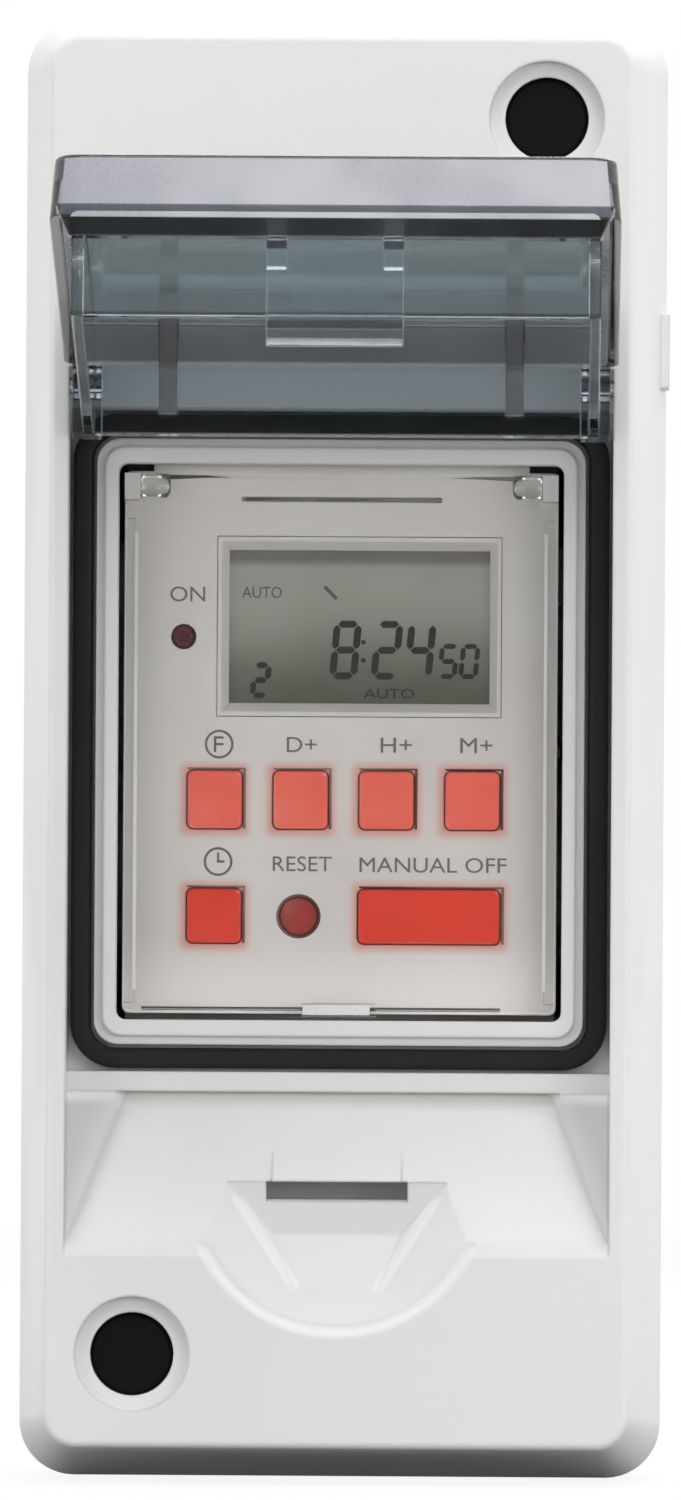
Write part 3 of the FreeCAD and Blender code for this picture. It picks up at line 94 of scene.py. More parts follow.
KEY_LEFT = -10.4
KEY_PITCH = 7.13
KEY_ROWS = (-4.75, -14.4)
KEY_HOLES = (
    *(KeyHole(KEY_LEFT + KEY_PITCH * column, KEY_ROWS[0], 2.25, 2.4) for column in range(4)),
    KeyHole(KEY_LEFT, KEY_ROWS[1], 2.25, 2.25),
    KeyHole(7.495, KEY_ROWS[1], 5.85, 2.25),
)
KEY_GLOW_REACH = 0.0011
KEY_GLOW_SHARE = 0.6


@dataclass(frozen=True)
class ScoopEdges:
    """Where the painted highlight runs along the finger scoop's edges, in metres."""

    centre_up: float = -0.0366
    rim: Point = (0.0119, 0.0126)
    rim_foot: Point = (-0.0424, -0.0412)
    crease_across: float = 0.0091
    crease_up: float = -0.0364
    crease_way: Point = (0.841, 0.541)
    crease_rows: Point = (-0.0448, -0.0382)
    half: float = 0.0003
    front: Point = (-0.0672, -0.0662)


def srgb(red: int, green: int, blue: int) -> Colour:
    """Turn a screen colour into the linear colour that a shader takes.

    Args:
        red: Red from 0 to 255.
        green: Green from 0 to 255.
        blue: Blue from 0 to 255.

    Returns:
        The linear colour with an alpha of one.
    """
    parts = []
    for level in (red, green, blue):
        share = level / 255
        parts.append(share / 12.92 if share <= 0.04045 else ((share + 0.055) / 1.055) ** 2.4)
    return (*parts, 1.0)


class Graph:
    """Adds nodes to one node tree and wires them.

    Args:
        tree: The tree of a material, a shader group, a geometry group or the world.
    """

    def __init__(self, tree: bpy.types.NodeTree) -> None:
        """Keep the tree."""
        self.tree = tree

    def feed(self, socket: bpy.types.NodeSocket, value: object) -> None:
        """Give an input a value, or link it where the value is another node's output.

        Args:
            socket: The input.
            value: A plain value, or the output to link.
        """
        if isinstance(value, bpy.types.NodeSocket):
            self.tree.links.new(value, socket)
        else:
            socket.default_value = value

    def node(self, kind: str, inputs: dict[str | int, object] | None = None,
             **settings: object) -> bpy.types.Node:
        """Add a node.

        Args:
            kind: The node's type name.
            inputs: A value or an output for each input, by name or number.
            **settings: Properties of the node, set before its inputs.

        Returns:
            The new node.
        """
        made = self.tree.nodes.new(kind)
        for name, value in settings.items():
            setattr(made, name, value)
        for name, value in (inputs or {}).items():
            self.feed(made.inputs[name], value)
        return made

    def math(self, operation: str, first: object, second: object = 0.0,
             clamp: bool = False) -> bpy.types.NodeSocket:
        """One sum of two values or outputs, kept from zero to one where clamp is set."""
        return self.node("ShaderNodeMath", {0: first, 1: second}, operation=operation,
                         use_clamp=clamp).outputs[0]

    def times(self, *values: object) -> bpy.types.NodeSocket:
        """The product of some values."""
        return reduce(lambda first, second: self.math("MULTIPLY", first, second), values)

    def most(self, *values: object) -> bpy.types.NodeSocket:
        """The largest of some values."""
        return reduce(lambda first, second: self.math("MAXIMUM", first, second), values)

    def plus(self, first: object, second: object, clamp: bool = False) -> bpy.types.NodeSocket:
        """The sum of two values."""
        return self.math("ADD", first, second, clamp)

    def less(self, first: object, second: object) -> bpy.types.NodeSocket:
        """The first value less the second."""
        return self.math("SUBTRACT", first, second)

    def unsigned(self, value: object) -> bpy.types.NodeSocket:
        """A value without its sign."""
        return self.math("ABSOLUTE", value)

    def distance(self, x: object, y: object, z: object) -> bpy.types.NodeSocket:
        """The length of a vector, from its three parts."""
        vector = self.node("ShaderNodeCombineXYZ", {"X": x, "Y": y, "Z": z}).outputs[0]
        return self.node("ShaderNodeVectorMath", {0: vector}, operation="LENGTH").outputs["Value"]

    def mix(self, factor: object, first: object, second: object) -> bpy.types.NodeSocket:
        """Mix two colours: the factor says how much of the second is taken."""
        return self.node("ShaderNodeMix", {0: factor, 6: first, 7: second}, data_type="RGBA").outputs[2]

    def spread(self, value: object, low: float, high: float, start: float = 0.0,
               end: float = 1.0) -> bpy.types.NodeSocket:
        """Stretch a value smoothly, so that low gives start and high gives end."""
        inputs = {"Value": value, "From Min": low, "From Max": high, "To Min": start, "To Max": end}
        return self.node("ShaderNodeMapRange", inputs, interpolation_type="SMOOTHSTEP").outputs["Result"]

    def band(self, value: object, low: float, high: float, soft: float) -> bpy.types.NodeSocket:
        """One between two values, and zero beyond a soft edge on either side."""
        rise = self.spread(value, low - soft, low)
        return self.times(rise, self.spread(value, high, high + soft, 1.0, 0.0))

    def noise(self, vector: object, scale: object, detail: float = 2.0) -> bpy.types.NodeSocket:
        """A noise from zero to one that follows a position."""
        return self.node("ShaderNodeTexNoise", {"Vector": vector, "Scale": scale,
                                                "Detail": detail}).outputs["Fac"]

    def place(self) -> bpy.types.NodeSocket:
        """The position on the piece, in metres."""
        return self.node("ShaderNodeTexCoord").outputs["Object"]

    def axes(self, vector: object) -> list[bpy.types.NodeSocket]:
        """The three parts of a position."""
        return list(self.node("ShaderNodeSeparateXYZ", {0: vector}).outputs)

    def shared(self, surface: Surface, **inputs: object) -> dict[str, bpy.types.NodeSocket]:
        """Place a shared group.

        Args:
            surface: Which group.
            **inputs: Its inputs, with underscores for the spaces in their names.

        Returns:
            Its outputs by name.
        """
        group = self.node("ShaderNodeGroup", node_tree=SharedSurfaces.tree(surface))
        for name, value in inputs.items():
            self.feed(group.inputs[name.replace("_", " ")], value)
        return {output.name: output for output in group.outputs}


class SharedSurfaces:
    """Builds each shared shader group once."""

    @classmethod
    def tree(cls, surface: Surface) -> bpy.types.NodeTree:
        """The tree of one shared group, built on first use.

        Args:
            surface: Which group.

        Returns:
            The group's tree.
        """
        made = bpy.data.node_groups.get(surface.value)
        if made is None:
            made = bpy.data.node_groups.new(surface.value, "ShaderNodeTree")
            builders = {
                Surface.MOULDED: cls._moulded,
                Surface.TONES: cls._tones,
                Surface.SEAM: cls._seam,
                Surface.BRUSHED: cls._brushed,
                Surface.PAINTED_HIGHLIGHT: cls._painted_highlight,
                Surface.GLOW: cls._glow,
            }
            builders[surface](made)
        return made

    @staticmethod
    def _sockets(tree: bpy.types.NodeTree, inputs: dict[str, str],
                 outputs: dict[str, str]) -> tuple[Graph, dict, dict]:
        """Make the sockets of a group.

        Args:
            tree: The group's tree.
            inputs: The kind of each input by name: Float, Color or Vector.
            outputs: The kind of each output by name.

        Returns:
            The graph, the group's inputs as outputs inside it, and the sockets that take its results.
        """
        for name, kind in inputs.items():
            tree.interface.new_socket(name, in_out="INPUT", socket_type=f"NodeSocket{kind}")
        for name, kind in outputs.items():
            tree.interface.new_socket(name, in_out="OUTPUT", socket_type=f"NodeSocket{kind}")
        graph = Graph(tree)
        inside = graph.node("NodeGroupInput")
        result = graph.node("NodeGroupOutput")
        return (graph, {name: inside.outputs[name] for name in inputs},
                {name: result.inputs[name] for name in outputs})

    @classmethod
    def _moulded(cls, tree: bpy.types.NodeTree) -> None:
        """Fine moulded grain, softened edges, a drifting roughness, and a mask of the rubbed corners.

        Args:
            tree: The group's empty tree.
        """
        kinds = {"Vector": "Vector", "Grain Scale": "Float", "Grain Depth": "Float", "Edge Radius": "Float",
                 "Roughness": "Float"}
        graph, given, result = cls._sockets(tree, kinds,
                                            {"Normal": "Vector", "Roughness": "Float", "Wear": "Float"})
        fine = graph.noise(given["Vector"], given["Grain Scale"], 3.0)
        soft = graph.node("ShaderNodeBevel", {"Radius": given["Edge Radius"]}, samples=4)
        bump = graph.node("ShaderNodeBump", {"Strength": 0.6, "Distance": given["Grain Depth"], "Height": fine,
                                             "Normal": soft.outputs["Normal"]})
        graph.feed(result["Normal"], bump.outputs["Normal"])
        patches = graph.noise(given["Vector"], 55.0, 3.0)
        shift = graph.spread(patches, 0.35, 0.7, -0.05, 0.05)
        grain = graph.spread(fine, 0.3, 0.7, -0.03, 0.03)
        rough = graph.plus(given["Roughness"], graph.plus(shift, grain), clamp=True)
        graph.feed(result["Roughness"], rough)
        corner = graph.node("ShaderNodeNewGeometry").outputs["Pointiness"]
        rubbed = graph.times(graph.spread(corner, 0.52, 0.62), graph.spread(patches, 0.4, 0.65))
        graph.feed(result["Wear"], rubbed)

    @classmethod
    def _tones(cls, tree: bpy.types.NodeTree) -> None:
        """A colour that drifts slowly towards a second tone, with fine specks and a touch of settled dust.

        Args:
            tree: The group's empty tree.
        """
        kinds = {"Vector": "Vector", "Colour": "Color", "Second": "Color", "Amount": "Float", "Dust": "Float",
                 "Patch Scale": "Float"}
        graph, given, result = cls._sockets(tree, kinds, {"Colour": "Color"})
        patch = graph.spread(graph.noise(given["Vector"], given["Patch Scale"], 4.0), 0.3, 0.7)
        speck = graph.spread(graph.noise(given["Vector"], 1900.0, 1.0), 0.62, 0.8)
        base = graph.mix(graph.times(patch, given["Amount"]), given["Colour"], given["Second"])
        base = graph.mix(graph.times(speck, given["Amount"], 0.35), base, given["Second"])
        facing_up = graph.spread(graph.axes(graph.node("ShaderNodeNewGeometry").outputs["Normal"])[2], 0.5, 1.0)
        dusty = graph.spread(graph.noise(given["Vector"], 240.0, 5.0), 0.35, 0.75)
        settled = graph.times(facing_up, given["Dust"], dusty)
        graph.feed(result["Colour"], graph.mix(settled, base, srgb(196, 192, 184)))

    @classmethod
    def _seam(cls, tree: bpy.types.NodeTree) -> None:
        """A mask for painted shade along the line where the two halves of the enclosure meet.

        Args:
            tree: The group's empty tree.
        """
        graph, given, result = cls._sockets(tree, {"Vector": "Vector", "Out": "Float", "Width": "Float"},
                                            {"Mask": "Float"})
        across = graph.plus(graph.axes(given["Vector"])[1], given["Out"])
        near = graph.math("DIVIDE", graph.unsigned(across), given["Width"])
        graph.feed(result["Mask"], graph.spread(near, 0.4, 1.0, 1.0, 0.0))

    @classmethod
    def _painted_highlight(cls, tree: bpy.types.NodeTree) -> None:
        """A mask of painted highlight along the rim of the finger scoop and the two creases of its floor.

        Args:
            tree: The group's empty tree.
        """
        graph, given, result = cls._sockets(tree, {"Vector": "Vector"}, {"Mask": "Float"})
        edges = ScoopEdges()
        x, y, z = graph.axes(given["Vector"])
        ring = graph.distance(x, 0.0, graph.less(z, edges.centre_up))
        rim = graph.times(graph.band(ring, *edges.rim, edges.half),
                          graph.spread(z, *edges.rim_foot, 1.0, 0.0))
        reach = graph.times(graph.less(graph.unsigned(x), edges.crease_across), edges.crease_way[0])
        fall = graph.times(graph.less(z, edges.crease_up), edges.crease_way[1])
        crease = graph.times(graph.band(graph.less(reach, fall), -edges.half, edges.half, edges.half),
                             graph.band(z, *edges.crease_rows, 0.0009))
        front = graph.spread(y, *edges.front, 1.0, 0.0)
        graph.feed(result["Mask"], graph.times(graph.most(rim, crease), front))

    @classmethod
    def _glow(cls, tree: bpy.types.NodeTree) -> None:
        """A soft mask round the red keys, for the light that they throw on the plastic beside them.

        Args:
            tree: The group's empty tree.
        """
        graph, given, result = cls._sockets(tree, {"Vector": "Vector"}, {"Mask": "Float"})
        x, _, z = graph.axes(given["Vector"])
        masks = []
        for hole in KEY_HOLES:
            side = graph.less(graph.unsigned(graph.less(x, hole.across * MM)), hole.half_wide * MM)
            high = graph.less(graph.unsigned(graph.less(z, hole.up * MM)), hole.half_tall * MM)
            away = graph.distance(graph.most(side, 0.0), graph.most(high, 0.0), 0.0)
            masks.append(graph.spread(away, 0.0, KEY_GLOW_REACH, 1.0, 0.0))
        graph.feed(result["Mask"], graph.times(graph.most(*masks), KEY_GLOW_SHARE))

    @classmethod
    def _brushed(cls, tree: bpy.types.NodeTree) -> None:
        """Turned or drawn metal: fine lines along one direction, and dull patches.

        Args:
            tree: The group's empty tree.
        """
        graph, given, result = cls._sockets(
            tree, {"Vector": "Vector", "Roughness": "Float", "Depth": "Float"},
            {"Normal": "Vector", "Roughness": "Float", "Tarnish": "Float"})
        drawn = graph.node("ShaderNodeMapping", {"Vector": given["Vector"], "Scale": (1.0, 12.0, 12.0)})
        lines = graph.noise(drawn.outputs["Vector"], 900.0, 2.0)
        bump = graph.node("ShaderNodeBump", {"Strength": 0.5, "Distance": given["Depth"], "Height": lines})
        graph.feed(result["Normal"], bump.outputs["Normal"])
        patches = graph.noise(given["Vector"], 260.0, 4.0)
        graph.feed(result["Tarnish"], graph.spread(patches, 0.45, 0.75))
        dull = graph.spread(patches, 0.3, 0.8, 0.0, 0.16)
        graph.feed(result["Roughness"], graph.plus(given["Roughness"], dull))


@dataclass(frozen=True)
class Finish:
    """A procedural surface with one Principled shader."""

    name: str
    colour: Colour

    def material(self) -> bpy.types.Material:
        """The finish as a material, built on first use.

        Returns:
            The material.
        """
        made = bpy.data.materials.get(self.name)
        if made is None:
            made = bpy.data.materials.new(self.name)
            made.use_nodes = True
            graph = Graph(made.node_tree)
            self.shade(graph, made.node_tree.nodes["Principled BSDF"])
        return made

    def shade(self, graph: Graph, shader: bpy.types.Node) -> None:
        """Feed the shader's inputs."""
        raise NotImplementedError


@dataclass(frozen=True)
class Moulded(Finish):
    """Opaque moulded plastic or rubber."""

    second: Colour = (0.6, 0.6, 0.6, 1.0)
    amount: float = 0.3
    roughness: float = 0.42
    grain_scale: float = 5200.0
    grain_depth: float = 0.000012
    edge: float = 0.00025
    specular: float = 0.5
    dust: float = 0.0
    patch_scale: float = 38.0
    glow: float = 0.0
    wear: float = 0.25

    def shade(self, graph: Graph, shader: bpy.types.Node) -> None:
        """Feed the shader from the shared moulded surface and tones.

        Args:
            graph: The material's graph.
            shader: The material's Principled shader.
        """
        place = graph.place()
        surface = graph.shared(Surface.MOULDED, Vector=place, Grain_Scale=self.grain_scale,
                               Grain_Depth=self.grain_depth, Edge_Radius=self.edge_width(graph, place),
                               Roughness=self.roughness)
        tones = graph.shared(Surface.TONES, Vector=place, Colour=self.colour, Second=self.second,
                             Amount=self.amount, Dust=self.dust, Patch_Scale=self.patch_scale)
        colour = graph.mix(graph.times(surface["Wear"], self.wear), tones["Colour"], RUBBED)
        graph.feed(shader.inputs["Base Color"], self.toned(graph, place, colour))
        graph.feed(shader.inputs["Roughness"], surface["Roughness"])
        graph.feed(shader.inputs["Normal"], surface["Normal"])
        shader.inputs["Specular IOR Level"].default_value = self.specular
        if self.glow:
            shader.inputs["Subsurface Weight"].default_value = self.glow
            shader.inputs["Subsurface Radius"].default_value = (1.0, 0.35, 0.25)
            shader.inputs["Subsurface Scale"].default_value = 0.0012

    def edge_width(self, graph: Graph, place: bpy.types.NodeSocket) -> object:
        """How far the edges are softened, in metres."""
        return self.edge

    def toned(self, graph: Graph, place: bpy.types.NodeSocket, colour: object) -> object:
        """The colour, with the tones that only this plastic shows."""
        return colour


@dataclass(frozen=True)
class HousingPlastic(Moulded):
    """The housing's plastic: painted shade on the parting line and the ramp's sides, soft ramp sides, and
    painted highlight on the scoop's edges, in metres.
    """

    seam_out: float = 0.030
    seam_wide: float = 0.0003
    seam_painted_shade: Colour = srgb(92, 92, 90)
    soft_from: Point = (0.0125, 0.0150)
    soft_to: Point = (0.0219, 0.0223)
    soft_rows: Point = (-0.0416, -0.0306)
    soft_edge: float = 0.003
    ramp_top: float = -0.0294
    ramp_slant: float = -0.357
    ramp_corner: Point = (0.0165, 0.0205)
    ramp_rows: Point = (-0.0412, -0.0302)
    ramp_front: Point = (-0.0720, -0.0717)
    ramp_back: Point = (-0.0600, -0.0590)
    ramp_painted_shade: Colour = srgb(150, 150, 148)
    pocket_side: Point = (0.0226, 0.0229)
    painted_highlight_colour: Colour = srgb(252, 252, 250)

    def edge_width(self, graph: Graph, place: bpy.types.NodeSocket) -> object:
        """How far the edges are softened: more where the ramp meets its side faces.

        Args:
            graph: The material's graph.
            place: The position on the piece.

        Returns:
            The width's output, in metres.
        """
        x, _, z = graph.axes(place)
        side = graph.unsigned(x)
        soft = graph.times(graph.spread(side, *self.soft_from), graph.band(z, *self.soft_rows, 0.0006),
                           graph.spread(side, *self.soft_to, 1.0, 0.0))
        return graph.plus(self.edge, graph.times(soft, self.soft_edge))

    def toned(self, graph: Graph, place: bpy.types.NodeSocket, colour: object) -> object:
        """The colour with painted shade along the parting line and beside the ramp, and painted highlight on
        the scoop's edges.

        Args:
            graph: The material's graph.
            place: The position on the piece.
            colour: The plastic's colour.

        Returns:
            The colour's output.
        """
        # Painted shade along the parting line, for the shadow in the gap between the two halves.
        seam = graph.shared(Surface.SEAM, Vector=place, Out=self.seam_out, Width=self.seam_wide)["Mask"]
        colour = graph.mix(graph.times(seam, 0.75), colour, self.seam_painted_shade)
        x, y, z = graph.axes(place)
        # Painted shade on the ramp's side faces, where the pocket keeps the light off them.
        side = graph.unsigned(x)
        past = graph.less(side, graph.times(graph.less(z, self.ramp_top), self.ramp_slant))
        shade = graph.times(graph.spread(past, *self.ramp_corner), graph.band(z, *self.ramp_rows, 0.0008),
                            graph.spread(side, *self.pocket_side, 1.0, 0.0), graph.spread(y, *self.ramp_front),
                            graph.spread(y, *self.ramp_back, 1.0, 0.0))
        colour = graph.mix(graph.times(shade, 0.4), colour, self.ramp_painted_shade)
        # Painted highlight along the scoop's rim and the creases of its floor.
        painted_highlight = graph.shared(Surface.PAINTED_HIGHLIGHT, Vector=place)["Mask"]
        return graph.mix(graph.times(painted_highlight, 0.5), colour, self.painted_highlight_colour)


@dataclass(frozen=True)
class TimerPlastic(Moulded):
    """The timer's plastic, with painted light at its foot below the lid's shadow, and the keys' reddish light
    painted beside them.
    """

    foot: Colour = srgb(255, 250, 248)
    painted_light_rows: Point = (-0.0215, -0.0150)
    painted_key_light: Colour = srgb(228, 120, 104)

    def toned(self, graph: Graph, place: bpy.types.NodeSocket, colour: object) -> object:
        """The colour with painted light at the foot and the keys' painted reddish light."""
        # Painted light: lighter towards the foot, below the lid's shadow.
        colour = graph.mix(graph.spread(graph.axes(place)[2], *self.painted_light_rows), self.foot, colour)
        # Painted reddish light from the keys on the plastic beside them.
        return graph.mix(graph.shared(Surface.GLOW, Vector=place)["Mask"], colour, self.painted_key_light)


@dataclass(frozen=True)
class Metal(Finish):
    """Zinc plated, nickel plated or brass metal."""

    tarnish: Colour = (0.3, 0.3, 0.3, 1.0)
    roughness: float = 0.3
    depth: float = 0.000008

    def shade(self, graph: Graph, shader: bpy.types.Node) -> None:
        """Feed the shader from the shared machined surface.

        Args:
            graph: The material's graph.
            shader: The material's Principled shader.
        """
        surface = graph.shared(Surface.BRUSHED, Vector=graph.place(), Roughness=self.roughness,
                               Depth=self.depth)
        graph.feed(shader.inputs["Base Color"],
                   graph.mix(graph.times(surface["Tarnish"], 0.5), self.colour, self.tarnish))
        graph.feed(shader.inputs["Roughness"], surface["Roughness"])
        graph.feed(shader.inputs["Normal"], surface["Normal"])
        shader.inputs["Metallic"].default_value = 1.0


@dataclass(frozen=True)
class ClearPlastic(Finish):
    """Clear or smoked plastic that lets part of the light through to what it shades."""

    roughness: float = 0.03
    refraction: float = 1.49
    shade_share: float = 0.12
    smear: float = 0.04
    edge: float = 0.0002

    def shade(self, graph: Graph, shader: bpy.types.Node) -> None:
        """Feed the shader: faint moulding waves, finger smears, and thin shadows.

        Args:
            graph: The material's graph.
            shader: The material's Principled shader.
        """
        place = graph.place()
        smears = graph.spread(graph.noise(place, 90.0, 4.0), 0.45, 0.75)
        rough = graph.plus(self.roughness, graph.times(smears, self.smear))
        graph.feed(shader.inputs["Roughness"], rough)
        waves = graph.noise(place, 130.0, 1.0)
        soft = graph.node("ShaderNodeBevel", {"Radius": self.edge}, samples=4)
        bump = graph.node("ShaderNodeBump", {"Strength": 0.25, "Distance": 0.00006, "Height": waves,
                                             "Normal": soft.outputs["Normal"]})
        graph.feed(shader.inputs["Normal"], bump.outputs["Normal"])
        tint = graph.mix(graph.times(smears, 0.12), self.tint(graph, place), RUBBED)
        graph.feed(shader.inputs["Base Color"], tint)
        shader.inputs["Transmission Weight"].default_value = 1.0
        shader.inputs["IOR"].default_value = self.refraction
        shadow = graph.node("ShaderNodeLightPath").outputs["Is Shadow Ray"]
        graph.feed(shader.inputs["Alpha"], graph.less(1.0, graph.times(shadow, 1.0 - self.shade_share)))

    def tint(self, graph: Graph, place: bpy.types.NodeSocket) -> object:
        """The colour of the plastic at a place."""
        return self.colour


@dataclass(frozen=True)
class Region:
    """A box in the lid's own frame, in millimetres, with the tint painted there as light or shade."""

    side: Point
    out: Point
    down: Point
    tint: Colour


@dataclass(frozen=True)
class SmokedPlastic(ClearPlastic):
    """Smoked plastic with painted light and shade over its tint on the lid's ribs, rims and latch."""

    regions: tuple[Region, ...] = ()

    def tint(self, graph: Graph, place: bpy.types.NodeSocket) -> object:
        """The colour of the plastic at a place: the panel's, with each region's painted light or shade over it.

        Args:
            graph: The material's graph.
            place: The position on the lid.

        Returns:
            The colour's output.
        """
        scaled = graph.node("ShaderNodeVectorMath", {0: place, 3: 1 / MM}, operation="SCALE").outputs[0]
        x, y, z = graph.axes(scaled)
        side = graph.unsigned(x)
        deep, high = graph.plus(y, LID_AXIS[0]), graph.less(z, LID_AXIS[1])
        turn = (math.cos(LID_TURN), math.sin(LID_TURN))
        out = graph.less(graph.times(high, turn[1]), graph.times(deep, turn[0]))
        down = graph.less(graph.times(high, -turn[0]), graph.times(deep, turn[1]))
        colour = self.colour
        for region in self.regions:
            inside = [graph.band(value, *limits, 0.12) for value, limits in
                      ((side, region.side), (out, region.out), (down, region.down))]
            colour = graph.mix(graph.times(*inside), colour, region.tint)
        return colour


@dataclass(frozen=True)
class LiquidCrystal(Finish):
    """Grey-green display glass, darker towards its foot, with the bezel's shadow painted as a strip along its
    top.
    """

    foot: Colour = (0.1, 0.1, 0.1, 1.0)
    strip: Colour = (0.1, 0.1, 0.1, 1.0)
    low: float = 0.0033
    high: float = 0.0160

    def shade(self, graph: Graph, shader: bpy.types.Node) -> None:
        """Feed the shader with the gradient, its slow drift and the bezel's painted shadow.

        Args:
            graph: The material's graph.
            shader: The material's Principled shader.
        """
        place = graph.place()
        up = graph.axes(place)[2]
        drift = graph.times(graph.less(graph.noise(place, 140.0, 2.0), 0.5), 0.35)
        height = graph.plus(graph.spread(up, self.low, self.high * 0.8), drift, clamp=True)
        colour = graph.mix(height, self.foot, self.colour)
        # Painted shadow of the bezel: a darker strip along the top.
        top = graph.spread(up, self.high - 0.0016, self.high - 0.0006)
        colour = graph.mix(graph.times(top, 0.8), colour, self.strip)
        graph.feed(shader.inputs["Base Color"], colour)
        graph.feed(shader.inputs["Roughness"], graph.spread(graph.noise(place, 70.0, 3.0), 0.3, 0.7, 0.12, 0.2))
        shader.inputs["Specular IOR Level"].default_value = 0.45
        shader.inputs["Coat Weight"].default_value = 0.3


@dataclass(frozen=True)
class CircuitBoard(Finish):
    """Green solder mask with darker bare laminate, raised tracks and tinned pads."""

    track: Colour = (0.1, 0.4, 0.15, 1.0)
    pad: Colour = (0.6, 0.6, 0.62, 1.0)

    def shade(self, graph: Graph, shader: bpy.types.Node) -> None:
        """Feed the shader with a pattern of tracks and pads.

        Args:
            graph: The material's graph.
            shader: The material's Principled shader.
        """
        place = graph.place()
        cells = graph.node("ShaderNodeTexVoronoi", {"Vector": place, "Scale": 420.0},
                           feature="DISTANCE_TO_EDGE", distance="EUCLIDEAN")
        tracks = graph.spread(cells.outputs["Distance"], 0.05, 0.1, 1.0, 0.0)
        dots = graph.node("ShaderNodeTexVoronoi", {"Vector": place, "Scale": 420.0, "Randomness": 0.5})
        pads = graph.spread(dots.outputs["Distance"], 0.14, 0.2, 1.0, 0.0)
        colour = graph.mix(pads, graph.mix(tracks, self.colour, self.track), self.pad)
        graph.feed(shader.inputs["Base Color"], colour)
        graph.feed(shader.inputs["Metallic"], graph.times(pads, 0.8))
        graph.feed(shader.inputs["Roughness"], graph.spread(pads, 0.0, 1.0, 0.35, 0.25))
        bump = graph.node("ShaderNodeBump", {"Strength": 0.4, "Distance": 0.00004,
                                             "Height": graph.most(tracks, pads)})
        graph.feed(shader.inputs["Normal"], bump.outputs["Normal"])


@dataclass(frozen=True)
class Ink(Finish):
    """Printed ink, worn a little thin in places."""

    ground: Colour = (0.6, 0.6, 0.6, 1.0)
    thin: float = 0.35

    def shade(self, graph: Graph, shader: bpy.types.Node) -> None:
        """Feed the shader with the ink over its ground.

        Args:
            graph: The material's graph.
            shader: The material's Principled shader.
        """
        place = graph.place()
        worn = graph.times(graph.spread(graph.noise(place, 2600.0, 3.0), 0.4, 0.75), self.thin)
        graph.feed(shader.inputs["Base Color"], graph.mix(worn, self.colour, self.ground))
        rough = graph.spread(graph.noise(place, 900.0, 2.0), 0.3, 0.7, 0.5, 0.65)
        graph.feed(shader.inputs["Roughness"], rough)


HOUSING = HousingPlastic("fine grained pale housing plastic", srgb(234, 234, 232), srgb(225, 225, 222), 0.35,
                         0.4, edge=0.0004, dust=0.05)
TIMER = TimerPlastic("satin timer plastic", srgb(227, 223, 220), srgb(217, 213, 210), 0.35, 0.38, 6500.0,
                     0.000008, 0.00015)
RUBBER = Moulded("black sealing rubber", srgb(24, 24, 25), srgb(40, 40, 41), 0.5, 0.55, 4200.0, 0.00002, 0.0002,
                 0.25, dust=0.05, wear=0.0)
BLACK = Moulded("black moulded plastic", srgb(11, 11, 10), srgb(18, 17, 16), 0.5, 0.6, 5200.0, 0.000008, 0.0001,
                0.12, wear=0.0)
# Painted reflection: a lighter copy of the red key plastic for the flap's glare over the upper keys.
KEY_UPPER_PAINTED_GLARE = Moulded("red key plastic with painted flap glare", srgb(255, 112, 92), srgb(248, 96, 78), 0.5, 0.42, 6500.0, 0.000008,
                    0.00012, patch_scale=220.0, glow=0.12)
KEY_LOWER = Moulded("signal red key plastic", srgb(240, 58, 26), srgb(226, 46, 20), 0.5, 0.42, 6500.0, 0.000008,
                    0.00012, patch_scale=220.0, glow=0.12)
KEY_RESET = Moulded("deep red key plastic", srgb(176, 48, 38), srgb(140, 34, 28), 0.5, 0.38, 6500.0, 0.000008,
                    0.00012, patch_scale=400.0)
COMPONENT = Moulded("dark component plastic", srgb(38, 38, 42), srgb(58, 58, 62), 0.4, 0.35, 5200.0)
COMPONENT_BLUE = Moulded("blue component lacquer", srgb(38, 84, 150), srgb(24, 60, 116), 0.5, 0.22, 3000.0)
# Painted light and shade on the smoked lid: each tint stands in for the light or shade seen in or through the
# lid there.
LID_PAINTED_LIGHT_AND_SHADE = (
    Region((-1, 22), (4.2, 6.8), (20, 66), srgb(168, 177, 182)),
    Region((-1, 22), (-4.2, 5.4), (54.9, 56.2), srgb(240, 250, 248)),
    Region((-1, 22), (-5, -4.2), (54.7, 56.4), srgb(150, 162, 166)),
    Region((-1, 21.4), (-2.3, 1.6), (1.5, 3.1), srgb(220, 232, 240)),
    Region((-1, 21.4), (-5, -2.3), (1.5, 3.1), srgb(175, 182, 188)),
    Region((13.5, 15.1), (-3, 5.4), (3.1, 6.5), srgb(70, 74, 80)),
    Region((-1, 5.7), (-9, 5.4), (65.8, 67.1), srgb(245, 252, 255)),
    Region((-1, 23.5), (-1, 1.35), (67.0, 69), srgb(40, 40, 48)),
    Region((21.9, 23.5), (0, 1.75), (3, 67), srgb(60, 60, 68)),
)
SMOKED = SmokedPlastic("smoked lid plastic", srgb(140, 149, 157), 0.035, 1.58, 0.55, 0.03, 0.00025,
                       regions=LID_PAINTED_LIGHT_AND_SHADE)
# Painted reflection and highlight for the smoked lid's end face and side channels.
PAINTED_LID_SHEEN = Moulded("painted sheen on smoked lid", srgb(163, 164, 171), srgb(152, 153, 161), 0.25, 0.3, 3000.0, 0.00001,
                0.00015, patch_scale=160.0)
GLEAM = Moulded("light in the clear flap", srgb(238, 236, 236), srgb(220, 218, 218), 0.6, 0.3, 3000.0, 0.00001,
                0.0001, patch_scale=160.0)
KEY_SHADE = Moulded("shaded key hole", srgb(96, 40, 38), srgb(120, 60, 56), 0.5, 0.6, 4000.0)
